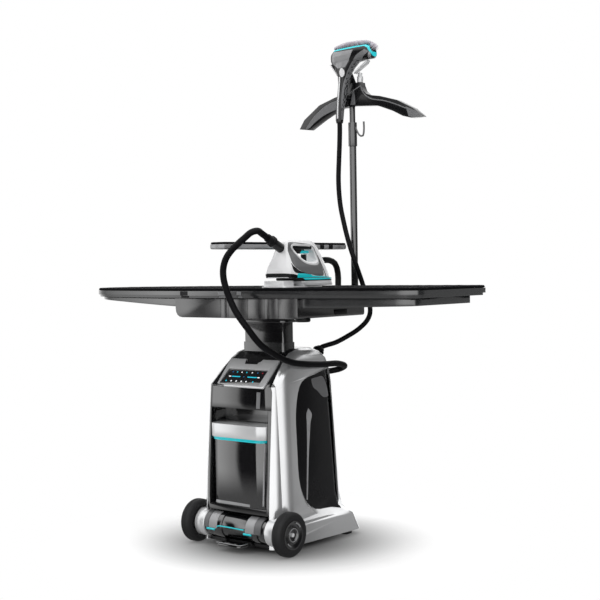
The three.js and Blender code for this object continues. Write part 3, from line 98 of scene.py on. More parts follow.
def at(x: float, y: float, z: float) -> Vector:
    """Turn a place measured from the tower's axis, in millimetres, into the part's frame.

    Args:
        x: Distance to the right of the tower's axis.
        y: Distance behind the tower's axis.
        z: Height above the floor.

    Returns:
        The same place in metres.
    """
    return Vector(((x + TOWER_X) * MM, (y + TOWER_Y) * MM, z * MM))


# Shader tools


class Tree:
    """Node tree of one material or world, with a single way to add a node."""

    def __init__(self, owner: bpy.types.ID) -> None:
        """Empty the owner's node tree.

        Args:
            owner: The material or world to work on.
        """
        owner.use_nodes = True
        self.nodes = owner.node_tree.nodes
        self.links = owner.node_tree.links
        self.nodes.clear()

    def add(
        self,
        kind: str,
        settings: Mapping[str, Any] | None = None,
        sockets: Mapping[Any, Any] | None = None,
        out: int | str = 0,
    ) -> Wire:
        """Add a node, then its settings, then its sockets.

        Args:
            kind: Blender's name of the node type.
            settings: Node settings; "stops" holds a ramp's positions and colours.
            sockets: Values or wires by the socket's name or number.
            out: The output to hand back.

        Returns:
            A wire from the asked output.
        """
        made = self.nodes.new(kind)
        for name, value in (settings or {}).items():
            if name == "stops":
                self._stops(made.color_ramp, value)
            else:
                setattr(made, name, value)
        for name, value in (sockets or {}).items():
            if isinstance(value, Wire):
                self.links.new(value.socket, made.inputs[name])
            else:
                made.inputs[name].default_value = value
        return Wire(self, made.outputs[out] if made.outputs else None)

    @staticmethod
    def _stops(ramp: bpy.types.ColorRamp, stops: Sequence[tuple[float, float]]) -> None:
        """Set a ramp to grey levels.

        Args:
            ramp: The ramp to set.
            stops: Position and level of each stop.
        """
        while len(ramp.elements) < len(stops):
            ramp.elements.new(1.0)
        for element, (position, level) in zip(ramp.elements, stops):
            element.position = position
            element.color = (level, level, level, 1.0)

    def noise(self, scale: float, detail: float, stretch: Triple = (1, 1, 1)) -> Wire:
        """Noise over the object's own place.

        Args:
            scale: Grains to the metre.
            detail: How many finer layers it holds.
            stretch: How much each axis is drawn out.

        Returns:
            A wire from 0 to 1.
        """
        factors = {0: self.place(), 1: stretch}
        sized = self.add("ShaderNodeVectorMath", {"operation": "MULTIPLY"}, factors)
        sockets = {"Vector": sized, "Scale": scale, "Detail": detail}
        return self.add("ShaderNodeTexNoise", None, sockets, "Fac")

    def blend(self, share: Wire, low: Colour, high: Colour) -> Wire:
        """Mix two colours by a wire from 0 to 1."""
        sockets = {0: share, 6: (*low, 1.0), 7: (*high, 1.0)}
        return self.add("ShaderNodeMix", {"data_type": "RGBA"}, sockets, 2)

    def place(self, axis: str | None = None) -> Wire:
        """Place on the object itself, or its share along one axis."""
        whole = self.add("ShaderNodeTexCoord", out="Object")
        return self.add("ShaderNodeSeparateXYZ", None, {0: whole}, axis) if axis else whole

    def bump(self, height: Wire, depth: float) -> Wire:
        """Normal from a height of 0 to 1, depth metres deep."""
        sockets = {"Height": height, "Distance": depth, "Strength": 1.0}
        return self.add("ShaderNodeBump", None, sockets, "Normal")


class Wire:
    """A node's output that takes part in Python arithmetic."""

    def __init__(self, tree: Tree, socket: bpy.types.NodeSocket | None) -> None:
        """Hold one output of a tree's node."""
        self.tree = tree
        self.socket = socket

    def _math(self, operation: str, *values: Any) -> Wire:
        """Add a Math node over the given values."""
        return self.tree.add("ShaderNodeMath", {"operation": operation}, dict(enumerate(values)))

    def __add__(self, other: Any) -> Wire:
        """Sum."""
        return self._math("ADD", self, other)

    __radd__ = __add__

    def __sub__(self, other: Any) -> Wire:
        """Difference."""
        return self._math("SUBTRACT", self, other)

    def __rsub__(self, other: Any) -> Wire:
        """Difference with the wire second."""
        return self._math("SUBTRACT", other, self)

    def __mul__(self, other: Any) -> Wire:
        """Product."""
        return self._math("MULTIPLY", self, other)

    __rmul__ = __mul__

    def sine(self) -> Wire:
        """Sine."""
        return self._math("SINE", self)

    def least(self, other: Any) -> Wire:
        """The smaller of the two."""
        return self._math("MINIMUM", self, other)

    def most(self, other: Any) -> Wire:
        """The larger of the two."""
        return self._math("MAXIMUM", self, other)

    def angle_of(self, other: Wire) -> Wire:
        """Angle whose tangent is this over other."""
        return self._math("ARCTAN2", self, other)

    def within(self, low: float, high: float) -> Wire:
        """Rise smoothly from 0 at low to 1 at high."""
        return self.tree.add(
            "ShaderNodeMapRange", {"interpolation_type": "SMOOTHSTEP"}, {0: self, 1: low, 2: high}
        )


# Finishes


@dataclass(frozen=True)
class Finish:
    """Surface of one moulding or metal part.

    The grain is a fine bump, the bloom a slow change in roughness such as
    handling leaves, and the drift a slow change in colour.
    """

    name: str
    colour: Colour
    roughness: float
    metallic: float = 0.0
    coat: float = 0.0
    alpha: float = 1.0
    grain_scale: float = 900.0
    grain_depth: float = 0.00002
    grain_stretch: Triple = (1, 1, 1)
    bloom: float = 0.06
    drift: float = 0.08
    glow: float = 0.0
    ior: float = 1.5
    specular: float = 0.5
    coat_roughness: float = 0.04
    bloom_scale: float = 22.0
    drift_scale: float = 14.0
    grain_detail: float = 3.0
    bloom_detail: float = 4.0
    drift_detail: float = 3.0

    def make(self) -> bpy.types.Material:
        """Build the material once.

        Returns:
            The same material at every call.
        """
        known = bpy.data.materials.get(self.name)
        if known and known.get("ready"):
            return known
        made = bpy.data.materials.new(self.name)
        tree = Tree(made)
        surface = self.surface(tree)
        tree.add("ShaderNodeOutputMaterial", None, {"Surface": surface})
        made["ready"] = True
        if self.alpha < 1.0:
            made.surface_render_method = "BLENDED"
        return made

    def height(self, tree: Tree) -> Wire:
        """Height of the surface's grain, from 0 to 1."""
        return tree.noise(self.grain_scale, self.grain_detail, self.grain_stretch)

    def base(self, tree: Tree) -> Wire:
        """Base colour over the surface.

        Args:
            tree: The material's tree.

        Returns:
            The drifting colour.
        """
        dark = tuple(c * (1.0 - self.drift) for c in self.colour)
        light = tuple(c * (1.0 + self.drift) for c in self.colour)
        return tree.blend(tree.noise(self.drift_scale, self.drift_detail), dark, light)

    def relief(self, tree: Tree) -> Wire:
        """Normal of the surface, with its grain."""
        return tree.bump(self.height(tree), self.grain_depth)

    def surface(self, tree: Tree) -> Wire:
        """Wire up the principled shader.

        Args:
            tree: The material's tree.

        Returns:
            The finished surface.
        """
        bloom = tree.noise(self.bloom_scale, self.bloom_detail) * (2.0 * self.bloom)
        sockets: dict[Any, Any] = {
            "Base Color": self.base(tree),
            "Roughness": bloom + (self.roughness - self.bloom),
            "Metallic": self.metallic,
            "Coat Weight": self.coat,
            "Coat Roughness": self.coat_roughness,
            "IOR": self.ior,
            "Specular IOR Level": self.specular,
            "Alpha": self.alpha,
            "Normal": self.relief(tree),
        }
        if self.glow:
            sockets["Emission Color"] = (*self.colour, 1.0)
            sockets["Emission Strength"] = self.glow
        return tree.add("ShaderNodeBsdfPrincipled", None, sockets)


@dataclass(frozen=True)
class CrownedFinish(Finish):
    """Paint over a panel that rolls off towards its front edge."""

    roll_from: float = -0.058
    roll_to: float = -0.116
    roll: float = 7.5

    def relief(self, tree: Tree) -> Wire:
        """Normal that turns to the front between roll_from and roll_to.

        Args:
            tree: The material's tree.

        Returns:
            The turned normal.
        """
        ahead = tree.place("Y").least(self.roll_from).most(self.roll_to) - self.roll_from
        return tree.bump(ahead * ahead * -self.roll, 1.0)


@dataclass(frozen=True)
class WovenFinish(Finish):
    """Cloth of two crossing threads."""

    threads_per_metre: float = 900.0

    def height(self, tree: Tree) -> Wire:
        """Warp over weft.

        Args:
            tree: The material's tree.

        Returns:
            The height of the threads, from 0 to 1.
        """
        turn = self.threads_per_metre * 2.0 * math.pi
        across, along = tree.place("X"), tree.place("Y")
        return (across * turn).sine() * (along * turn).sine() * 0.5 + 0.5


@dataclass(frozen=True)
class BraidedFinish(Finish):
    """Knitted sleeve round a hose."""

    ribs_per_metre: float = 420.0

    def height(self, tree: Tree) -> Wire:
        """Fine crossing ribs along and round the hose.

        Args:
            tree: The material's tree.

        Returns:
            The height of the ribs, from 0 to 1.
        """
        turn = self.ribs_per_metre * 2.0 * math.pi
        x, y, z = (tree.place(axis) for axis in "XYZ")
        return ((x + z) * turn).sine() * ((y - z) * turn).sine() * 0.5 + 0.5


@dataclass(frozen=True)
class BrushedFinish(Finish):
    """Metal brushed along one axis."""

    grain_scale: float = 60.0
    grain_stretch: Triple = (1, 30, 30)


SILVER = Finish(
    "silver_paint", (0.74, 0.745, 0.755), 0.26, 0.3, 0.3,
    grain_scale=2600, grain_depth=1e-5, bloom=0.02, drift=0.02,
)
BRIGHT_SILVER = replace(
    SILVER, name="bright_silver", colour=(0.82, 0.825, 0.835), roughness=0.22, metallic=0.4
)
SHELL_SILVER = CrownedFinish(
    "shell_silver", (0.85, 0.855, 0.865), 0.2, 0.7, 0.3, bloom=0.03, drift=0.02
)
PALE_SHELL = Finish("pale_moulding", (0.92, 0.92, 0.93), 0.28, 0.0, 0.3, drift=0.015)
GLOSS_BLACK = Finish(
    "gloss_black", (0.005, 0.005, 0.006), 0.09,
    ior=2.2, bloom=0.02, grain_scale=500, grain_depth=1e-6,
)
SOFT_GLOSS = Finish(
    "soft_gloss", (0.010, 0.010, 0.011), 0.24, ior=2.2, bloom=0.03, grain_depth=8e-6
)
INK_BLACK = Finish("ink_black", (0.006, 0.006, 0.007), 0.16, coat=0.2, bloom=0.04, grain_depth=6e-6)
PANEL_BLACK = Finish(
    "panel_black", (0.008, 0.008, 0.009), 0.26, bloom=0.04, grain_scale=1500, specular=0.35
)
GLOSS_GREY = Finish("gloss_grey", (0.022, 0.023, 0.024), 0.14, ior=2.2, bloom=0.03)
MID_GREY = Finish("mid_grey", (0.19, 0.192, 0.198), 0.3, coat=0.2, drift=0.03)
SATIN_GREY = Finish("satin_grey", (0.125, 0.126, 0.13), 0.32, coat=0.2, drift=0.03)
ALLOY_GREY = Finish("alloy_grey", (0.36, 0.362, 0.37), 0.28, 0.2, 0.3, bloom=0.03, drift=0.03)
MATT_BLACK = Finish(
    "matt_black", (0.007, 0.007, 0.008), 0.42, grain_scale=1400, grain_depth=4e-5, specular=0.25
)
RUBBER = Finish(
    "tyre_rubber", (0.012, 0.012, 0.013), 0.6, grain_scale=700, grain_depth=6e-5, specular=0.35
)
HOSE = BraidedFinish("hose_sleeve", (0.003, 0.003, 0.004), 0.5, grain_depth=0.00012, specular=0.15)
STEEL = BrushedFinish("brushed_steel", (0.90, 0.905, 0.92), 0.24, 0.3, grain_depth=2e-5)
TEAL = Finish("teal_moulding", (0.010, 0.74, 0.82), 0.2, coat=0.5, drift=0.04)
SMOKED = Finish("smoked_clear", (0.008, 0.008, 0.009), 0.05, ior=2.4, alpha=0.92, bloom=0.02)
CIRCUIT = Finish("circuit_board", (0.008, 0.09, 0.03), 0.4)
BRASS = Finish("turned_brass", (0.5, 0.33, 0.1), 0.28, 1.0)
COVER = WovenFinish(
    "cover_cloth", (0.004, 0.004, 0.005), 0.9, grain_depth=0.00025, drift=0.2, specular=0.06
)
BRISTLE = Finish("bristle", (0.66, 0.62, 0.68), 0.4)
LIT_WHITE = Finish("lit_white", (0.8, 0.83, 0.85), 0.4, glow=0.9)
LIT_TEAL = Finish("lit_teal", (0.01, 0.42, 0.55), 0.4, glow=0.9)
LIT_BLUE = Finish("lit_blue", (0.01, 0.10, 0.26), 0.4, glow=0.7)
LIT_RED = Finish("lit_red", (0.30, 0.01, 0.02), 0.4, glow=0.6)


# Mesh tools


SAME_SPOT = 1e-7
WELD_GAP = 2e-6
SHORTEST_SPAN = 1e-9
SHORTEST_SIDE = 1e-4
SAME_LEVEL = 1e-5
SPOT_DIGITS = 6
POINTS_PER_SPAN = 12
FEWEST_STRETCHES = 2
FEWEST_COLUMNS = 4
NORMAL_STEPS = 50
CREASE_ANGLE = math.radians(36)
ROUNDED_ANGLE = math.radians(38)


class Edge(Enum):
    """How far the edges of a carried-over part are rounded, in metres."""

    KEEN = 0.0003
    SOFT = 0.0008
    ROUND = 0.0018


def add_piece(
    name: str,
    shape: Shape,
    finish: Finish,
    body: str | None,
) -> bpy.types.Object:
    """Make a smooth piece from points and faces.

    Args:
        name: The piece's name.
        shape: Its corners in the part's frame, and its faces as numbers of corners.
        finish: What it is finished in.
        body: The CAD body it rides on, or None to leave it unattached.

    Returns:
        The new piece.
    """
    mesh = bpy.data.meshes.new(name)
    points, faces = shape
    mesh.from_pydata([tuple(p) for p in points], [], [tuple(f) for f in faces])
    mesh.validate()
    work = bmesh.new()
    work.from_mesh(mesh)
    bmesh.ops.remove_doubles(work, verts=work.verts, dist=SAME_SPOT)
    bmesh.ops.recalc_face_normals(work, faces=work.faces)
    work.to_mesh(mesh)
    work.free()
    mesh.polygons.foreach_set("use_smooth", [True] * len(mesh.polygons))
    made = bpy.data.objects.new(name, mesh)
    bpy.context.scene.collection.objects.link(made)
    mesh.materials.append(finish.make())
    if body:
        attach(made, body)
    LOG.info("built %s", name)
    return made


def shade_by_angle() -> bpy.types.GeometryNodeTree:
    """Node group that drops imported normals and keeps only real edges sharp.

    Returns:
        The same group at every call.
    """
    known = bpy.data.node_groups.get("shade_by_angle")
    if known:
        return known
    group = bpy.data.node_groups.new("shade_by_angle", "GeometryNodeTree")
    for way in ("INPUT", "OUTPUT"):
        group.interface.new_socket("Geometry", in_out=way, socket_type="NodeSocketGeometry")
    add = group.nodes.new
    start, smooth, normal, end = (
        add("NodeGroupInput"),
        add("GeometryNodeSetShadeSmooth"),
        add("GeometryNodeSetMeshNormal"),
        add("NodeGroupOutput"),
    )
    angle, over = add("GeometryNodeInputMeshEdgeAngle"), add("FunctionNodeCompare")
    over.operation = "GREATER_THAN"
    over.inputs[1].default_value = CREASE_ANGLE
    normal.inputs["Remove Custom"].default_value = True
    link = group.links.new
    link(start.outputs[0], smooth.inputs["Geometry"])
    link(smooth.outputs[0], normal.inputs["Mesh"])
    link(angle.outputs["Unsigned Angle"], over.inputs[0])
    link(over.outputs[0], normal.inputs["Edge Sharpness"])
    link(normal.outputs[0], end.inputs[0])
    return group


def soften(made: bpy.types.Object, edge: Edge | None) -> None:
    """Weld a part, round its edges and shade it by angle, all in modifiers.

    Args:
        made: The part.
        edge: How far its edges are rounded, or None to leave them.
    """
    weld = made.modifiers.new("weld", "WELD")
    weld.merge_threshold = WELD_GAP
    if edge:
        bevel = made.modifiers.new("edges", "BEVEL")
        bevel.width = edge.value
        bevel.segments = 2
        bevel.limit_method = "ANGLE"
        bevel.angle_limit = ROUNDED_ANGLE
        bevel.use_clamp_overlap = True
    shade = made.modifiers.new("shade", "NODES")
    shade.node_group = shade_by_angle()


def dress(frame: Frame, finish: Finish, edge: Edge | None, *nodes: str) -> None:
    """Give carried-over CAD nodes a finish and rounded edges.

    Args:
        frame: The loaded CAD model.
        finish: What they are finished in.
        edge: How far their edges are rounded.
        nodes: Names of the nodes.
    """
    for name in nodes:
        part = frame["nodes"][name]
        for place in part.material_slots:
            place.material = finish.make()
        soften(part, edge)
        LOG.info("dressed %s", name)


def skin(rings: Sequence[Sequence[Vector]], closed_ends: bool = True) -> Shape:
    """Skin closed rings of equal count one after another.

    Args:
        rings: The rings, each a closed loop.
        closed_ends: Whether the first and last ring are capped.

    Returns:
        Points and faces.
    """
    count = len(rings[0])
    points = [p for ring in rings for p in ring]
    faces = [
        [r + i, r + (i + 1) % count, r + count + (i + 1) % count, r + count + i]
        for r in range(0, (len(rings) - 1) * count, count)
        for i in range(count)
    ]
    if closed_ends:
        faces.append(list(range(count)))
        faces.append([(len(rings) - 1) * count + i for i in reversed(range(count))])
    return points, faces


def turned(centre: Vector, profile: Spots, sides: int = 96) -> Shape:
    """Turn a closed profile about the X axis.

    Args:
        centre: A point of the axis.
        profile: Distance along X and radius of each corner.
        sides: Facets round the axis.

    Returns:
        Points and faces.
    """
    rings = []
    for side in range(sides):
        angle = 2.0 * math.pi * side / sides
        way_y, way_z = math.cos(angle), math.sin(angle)
        rings.append([centre + Vector((x, r * way_y, r * way_z)) for x, r in profile])
    rings.append(rings[0])
    return skin(rings, closed_ends=False)


def catmull(points: Sequence[Vector], closed: bool = False) -> list[Vector]:
    """Centripetal spline through points, as the part's own routes are drawn.

    Args:
        points: What it passes through.
        closed: Whether it runs round to its start.

    Returns:
        The drawn points.
    """
    if closed:
        points = [*points, points[0]]
        ends = [points[-2], *points, points[1]]
    else:
        ends = [points[0] * 2 - points[1], *points, points[-1] * 2 - points[-2]]
    drawn: list[Vector] = []
    for p0, p1, p2, p3 in zip(ends, ends[1:], ends[2:], ends[3:]):
        t0 = 0.0
        spans = ((p0, p1), (p1, p2), (p2, p3))
        t1, t2, t3 = accumulate(math.sqrt(max((b - a).length, SHORTEST_SPAN)) for a, b in spans)
        for step in range(POINTS_PER_SPAN):
            t = t1 + (t2 - t1) * step / POINTS_PER_SPAN
            a1 = p0 * ((t1 - t) / (t1 - t0)) + p1 * ((t - t0) / (t1 - t0))
            a2 = p1 * ((t2 - t) / (t2 - t1)) + p2 * ((t - t1) / (t2 - t1))
            a3 = p2 * ((t3 - t) / (t3 - t2)) + p3 * ((t - t2) / (t3 - t2))
            b1 = a1 * ((t2 - t) / (t2 - t0)) + a2 * ((t - t0) / (t2 - t0))
            b2 = a2 * ((t3 - t) / (t3 - t1)) + a3 * ((t - t1) / (t3 - t1))
            drawn.append(b1 * ((t2 - t) / (t2 - t1)) + b2 * ((t - t1) / (t2 - t1)))
    drawn.append(points[-1].copy())
    return drawn


def turns(first: float, last: float, steps: int) -> list[float]:
    """Evenly spaced turns in radians, from one angle in degrees to another."""
    return [math.radians(first + (last - first) * step / steps) for step in range(steps + 1)]


def spaced(line: Sequence[Vector], step: float) -> list[Vector]:
    """Walk along a line and drop a point at every step."""
    return even(line, max(FEWEST_STRETCHES, round(length_of(line) / step)))


def even(line: Sequence[Vector], count: int) -> list[Vector]:
    """Cut a line into equal stretches.

    Args:
        line: The line, as points.
        count: How many stretches.

    Returns:
        The ends of the stretches.
    """
    total = length_of(line)
    marks = [total * i / count for i in range(count + 1)]
    out, gone, k = [], 0.0, 0
    for mark in marks:
        while k < len(line) - 2 and gone + (line[k + 1] - line[k]).length < mark:
            gone += (line[k + 1] - line[k]).length
            k += 1
        span = (line[k + 1] - line[k]).length
        share = min(1.0, (mark - gone) / span) if span else 0.0
        out.append(line[k].lerp(line[k + 1], share))
    return out


def length_of(line: Sequence[Vector]) -> float:
    """Length of a line through points."""
    return sum((b - a).length for a, b in zip(line, line[1:]))


def tube_rings(
    line: Sequence[Vector], radius: Callable[[float], float], sides: int
) -> list[list[Vector]]:
    """Rings of a tube along a line, without twist.

    Args:
        line: The centre line.
        radius: Radius at a distance along the line.
        sides: Points in each ring.

    Returns:
        One ring for each point of the line.
    """
    rings, gone = [], 0.0
    side = Vector((1, 0, 0))
    for i, point in enumerate(line):
        ahead = (line[min(i + 1, len(line) - 1)] - line[max(i - 1, 0)]).normalized()
        side = side - ahead * side.dot(ahead)
        if side.length < SHORTEST_SIDE:
            side = ahead.orthogonal()
        side.normalize()
        up = ahead.cross(side)
        size = radius(gone)
        rings.append(
            [
                point + (side * math.cos(a) + up * math.sin(a)) * size
                for a in (2.0 * math.pi * s / sides for s in range(sides))
            ]
        )
        if i + 1 < len(line):
            gone += (line[i + 1] - point).length
    return rings


def rod(line: Sequence[Vector], radius: float, sides: int) -> Shape:
    """Round rod of one radius along a line."""
    return skin(tube_rings(line, lambda _: radius, sides))


def surface_of(frame: Frame, node: str) -> BVHTree:
    """Surface of a CAD node, to cast rays at."""
    mesh = frame["nodes"][node].data
    return BVHTree.FromPolygons([v.co for v in mesh.vertices], [p.vertices for p in mesh.polygons])


@dataclass(frozen=True)
class Inlay:
    """Thin plate between two drawn curves that lies on a CAD node's surface.

    The curves hold spots of the tower in millimetres, across and up, as seen
    along the X or the Y axis.
    """

    name: str
    node: str
    body: str
    finish: Finish
    first: Spots
    second: Spots
    look: Triple = (0, 1, 0)
    closed: bool = False
    proud: float = 0.0008
    sunk: float = 0.0006
    step: float = 0.0025

    def sight(self, across: float, up: float) -> tuple[Vector, Vector]:
        """Line of sight to a drawn spot.

        Args:
            across: The spot's place across, in millimetres.
            up: Its height, in millimetres.

        Returns:
            Where it is looked at from, and which way.
        """
        look = Vector(self.look)
        place = at(across, 0, up) if look.y else at(0, across, up)
        return place - look, look

    def rows(self) -> list[list[Vector]]:
        """Draw both curves and the spots between them.

        Returns:
            Rows of spots from the first curve to the second.
        """
        curves = []
        for spots in (self.first, self.second):
            drawn = [Vector((across, up, 0.0)) for across, up in spots]
            curves.append(catmull(drawn, self.closed))
        count = max(FEWEST_COLUMNS, round(max(length_of(c) for c in curves) * MM / self.step))
        near, far = (even(curve, count) for curve in curves)
        gap = max((a - b).length for a, b in zip(near, far)) * MM
        steps = max(1, round(gap / self.step))
        return [[a.lerp(b, k / steps) for a, b in zip(near, far)] for k in range(steps + 1)]

    def build(self, frame: Frame) -> None:
        """Press the rows onto the surface and give them a thickness.

        Args:
            frame: The loaded CAD model.
        """
        tree = surface_of(frame, self.node)
        rows, depth, rings = self.rows(), 1.0, []
        for column in zip(*rows):
            outer, inner = [], []
            for spot in column:
                start, look = self.sight(spot.x, spot.y)
                hit = tree.ray_cast(start, look)[0] or tree.find_nearest(start + look * depth)[0]
                depth = (hit - start).dot(look)
                outer.append(hit - look * self.proud)
                inner.append(hit + look * self.sunk)
            rings.append(outer + inner[::-1])
        shape = skin(rings, closed_ends=not self.closed)
        soften(add_piece(self.name, shape, self.finish, self.body), Edge.KEEN)


@dataclass(frozen=True)
class WrappedInlay(Inlay):
    """Plate whose curves go round an upright axis, in degrees from the front."""

    centre: tuple[float, float] = (0.0, 0.0)
    away: float = 0.5

    def sight(self, across: float, up: float) -> tuple[Vector, Vector]:
        """Line of sight inwards to the axis.

        Args:
            across: The spot's turn from the front, in degrees.
            up: Its height, in millimetres.

        Returns:
            Where it is looked at from, and which way.
        """
        turn = math.radians(across)
        out = Vector((math.sin(turn), -math.cos(turn), 0.0))
        return at(*self.centre, up) + out * self.away, -out


@dataclass(frozen=True)
class Facet:
    """A flat face of a CAD node, with its own two directions."""

    corner: Vector
    across: Vector
    up: Vector
    normal: Vector
    width: float
    height: float

    @classmethod
    def of(cls, part: bpy.types.Object, towards: Vector) -> Facet:
        """Find the large flat face of a part that looks most along a direction.

        Args:
            part: The CAD node.
            towards: The direction.

        Returns:
            The face with its own directions.
        """

        def seen(faces: Sequence[bpy.types.MeshPolygon]) -> float:
            """How much of the faces looks along the direction."""
            return sum(f.area * max(0.0, f.normal.dot(towards)) ** 3 for f in faces)

        alike: dict[tuple[int, ...], list[bpy.types.MeshPolygon]] = {}
        for face in part.data.polygons:
            alike.setdefault(tuple(round(c * NORMAL_STEPS) for c in face.normal), []).append(face)
        chosen = max(alike.values(), key=seen)
        normal = chosen[0].normal.copy()
        across = Vector((1, 0, 0))
        across = (across - normal * across.dot(normal)).normalized()
        up = normal.cross(across)
        spots = [part.data.vertices[v].co for f in chosen for v in f.vertices]
        along = [p.dot(across) for p in spots]
        rise = [p.dot(up) for p in spots]
        depth = max(p.dot(normal) for p in spots)
        corner = across * min(along) + up * min(rise) + normal * depth
        return cls(corner, across, up, normal, max(along) - min(along), max(rise) - min(rise))

    def spot(self, share_across: float, share_up: float, lift: float = 0.0) -> Vector:
        """A point on the face by shares of its width and height."""
        on_face = self.across * (self.width * share_across) + self.up * (self.height * share_up)
        return self.corner + on_face + self.normal * lift


# Studio


@dataclass(frozen=True)
class Studio:
    """Camera, light, floor and surroundings of the picture.

    A card holds its azimuth in degrees and its level. A lamp holds its name,
    place, aim, size and power.
    """

    place: Triple = (2.41383974, -2.79647326, 0.84503467)
    yaw: float = 38.81941
    tilt: float = 1.50863
    roll: float = 0.89902
    lens: float = 71.07025
    sensor: float = 36.0
    clip: tuple[float, float] = (0.05, 200.0)
    floor_reach: float = 30.0
    # Painted shadow on the floor: its centre, its reach, and its darkest and open tones.
    shade_at: Triple = (0.04, 0.02, 0.0)
    shade_reach: tuple[float, float] = (0.10, 0.52)
    white_reach: tuple[float, float] = (0.45, 0.75)
    card_peak: float = 2.0
    card_above: float = 1.5
    card_below: float = 0.3
    above_reach: tuple[float, float] = (0.30, 0.75)
    below_reach: tuple[float, float] = (-0.12, -0.40)
    even_level: float = 0.62
    floor_level: float = -0.0004
    floor_tones: tuple[float, float] = (0.16, 0.78)
    floor_glow: float = 0.4
    cards: Spots = (
        (-180, 0.3), (-163, 0.9), (-150, 1.5), (-140, 1.5), (-134, 1.0), (-132, 0.9), (-131, 0.015),
        (-117, 0.015), (-113, 1.4), (-64, 1.35), (-20, 1.3), (4, 0.25), (14, 0.04), (44, 0.03),
        (52, 0.2), (75, 0.2), (98, 0.1), (106, 1.3), (158, 1.3), (180, 0.3),
    )
    lamps: Sequence[tuple[str, Triple, Triple, float, float]] = (
        ("key_lamp", (-2.6, -3.4, 3.4), (0.0, 0.0, 0.7), 2.2, 62.0),
        ("side_lamp", (3.6, 0.6, 2.4), (0.0, 0.0, 0.6), 2.4, 26.0),
        ("top_lamp", (0.2, 0.2, 4.6), (0.0, 0.0, 0.0), 3.4, 66.0),
    )

    def camera(self) -> None:
        """Stand the camera where the photograph was taken from."""
        yaw, tilt, roll = (math.radians(a) for a in (self.yaw, self.tilt, self.roll))
        level_share = math.cos(tilt)
        ahead = Vector((-math.sin(yaw) * level_share, math.cos(yaw) * level_share, -math.sin(tilt)))
        level = Vector((math.cos(yaw), math.sin(yaw), 0.0))
        above = level.cross(ahead)
        right = level * math.cos(roll) - above * math.sin(roll)
        up = level * math.sin(roll) + above * math.cos(roll)
        data = bpy.data.cameras.new("camera")
        data.lens, data.sensor_width = self.lens, self.sensor
        data.clip_start, data.clip_end = self.clip
        made = bpy.data.objects.new("camera", data)
        facing = Matrix((right, up, -ahead)).transposed().to_4x4()
        made.matrix_world = Matrix.Translation(self.place) @ facing
        bpy.context.scene.collection.objects.link(made)
        bpy.context.scene.camera = made

    def lamp(self, name: str, place: Triple, aim: Triple, size: float, power: float) -> None:
        """Hang a square soft lamp and turn it to its aim.

        Args:
            name: The lamp's name.
            place: Where it hangs.
            aim: What it shines at.
            size: Length of its side.
            power: Its power in watts.
        """
        data = bpy.data.lights.new(name, "AREA")
        data.shape, data.size, data.energy = "SQUARE", size, power
        made = bpy.data.objects.new(name, data)
        made.location = place
        made.rotation_euler = (Vector(aim) - Vector(place)).to_track_quat("-Z", "Y").to_euler()
        made.visible_glossy = False
        bpy.context.scene.collection.objects.link(made)

    def surroundings(self) -> None:
        """White to the camera, black and white cards to gloss, even light to the rest."""
        world = bpy.data.worlds.new("studio")
        bpy.context.scene.world = world
        tree = Tree(world)
        way = tree.add("ShaderNodeTexCoord", out="Generated")
        x, y, z = (tree.add("ShaderNodeSeparateXYZ", None, {0: way}, axis) for axis in "XYZ")
        turn = y.angle_of(x) * (0.5 / math.pi) + 0.5
        stops = [
            ((azimuth + 180.0) / 360.0, level / self.card_peak) for azimuth, level in self.cards
        ]
        ring = tree.add("ShaderNodeValToRGB", {"stops": stops}, {0: turn}) * self.card_peak
        above = z.within(*self.above_reach)
        below = z.within(*self.below_reach)
        level = ring * (1.0 - above) + above * self.card_above
        level = level * (1.0 - below) + below * self.card_below
        seen, gloss, through = (
            tree.add("ShaderNodeLightPath", out=f"Is {kind} Ray")
            for kind in ("Camera", "Glossy", "Transmission")
        )
        mirrored = gloss * level + (1.0 - gloss) * self.even_level
        strength = mirrored * (1.0 - seen) * (1.0 - through) + (seen + through)
        sky = tree.add("ShaderNodeBackground", None, {"Color": (1, 1, 1, 1), "Strength": strength})
        tree.add("ShaderNodeOutputWorld", None, {"Surface": sky})

    def floor(self) -> None:
        """Pale floor that is white to the camera, keeps the station's shadow and darkens round the
        tower in a painted shadow.
        """
        reach = self.floor_reach
        corners = ((-1, -1), (1, -1), (1, 1), (-1, 1))
        points = [Vector((sx * reach, sy * reach, self.floor_level)) for sx, sy in corners]
        made = add_piece("floor", (points, [[0, 1, 2, 3]]), RUBBER, None)
        material = bpy.data.materials.new("floor_paper")
        tree = Tree(material)
        # Painted shadow: the paper's tone and its glow darken towards the tower's foot.
        path = tree.add("ShaderNodeLightPath", out="Is Camera Ray")
        both = {0: tree.place(), 1: self.shade_at}
        from_tower = tree.add("ShaderNodeVectorMath", {"operation": "SUBTRACT"}, both)
        away = tree.add("ShaderNodeVectorMath", {"operation": "LENGTH"}, {0: from_tower}, "Value")
        open_floor = away.within(*self.shade_reach)
        tone = tree.blend(open_floor, *((level,) * 3 for level in self.floor_tones))
        paper = tree.add("ShaderNodeBsdfDiffuse", None, {"Color": tone})
        shine, white = (
            tree.add("ShaderNodeEmission", None, {"Color": (1, 1, 1, 1), "Strength": strength})
            for strength in (path * open_floor * self.floor_glow, 1.0)
        )
        near = tree.add("ShaderNodeAddShader", None, {0: paper, 1: shine})
        far = path * away.within(*self.white_reach)
        paper_or_white = tree.add("ShaderNodeMixShader", None, {0: far, 1: near, 2: white})
        gloss = tree.add("ShaderNodeLightPath", out="Is Glossy Ray")
        clear = tree.add("ShaderNodeBsdfTransparent")
        seen = tree.add("ShaderNodeMixShader", None, {0: gloss, 1: paper_or_white, 2: clear})
        tree.add("ShaderNodeOutputMaterial", None, {"Surface": seen})
        made.data.materials[0] = material

    def build(self) -> None:
        """Set the whole studio up."""
        bpy.context.scene.view_settings.view_transform = "Standard"
        self.camera()
        self.surroundings()
        self.floor()
        for lamp in self.lamps:
            self.lamp(*lamp)


# Hoses


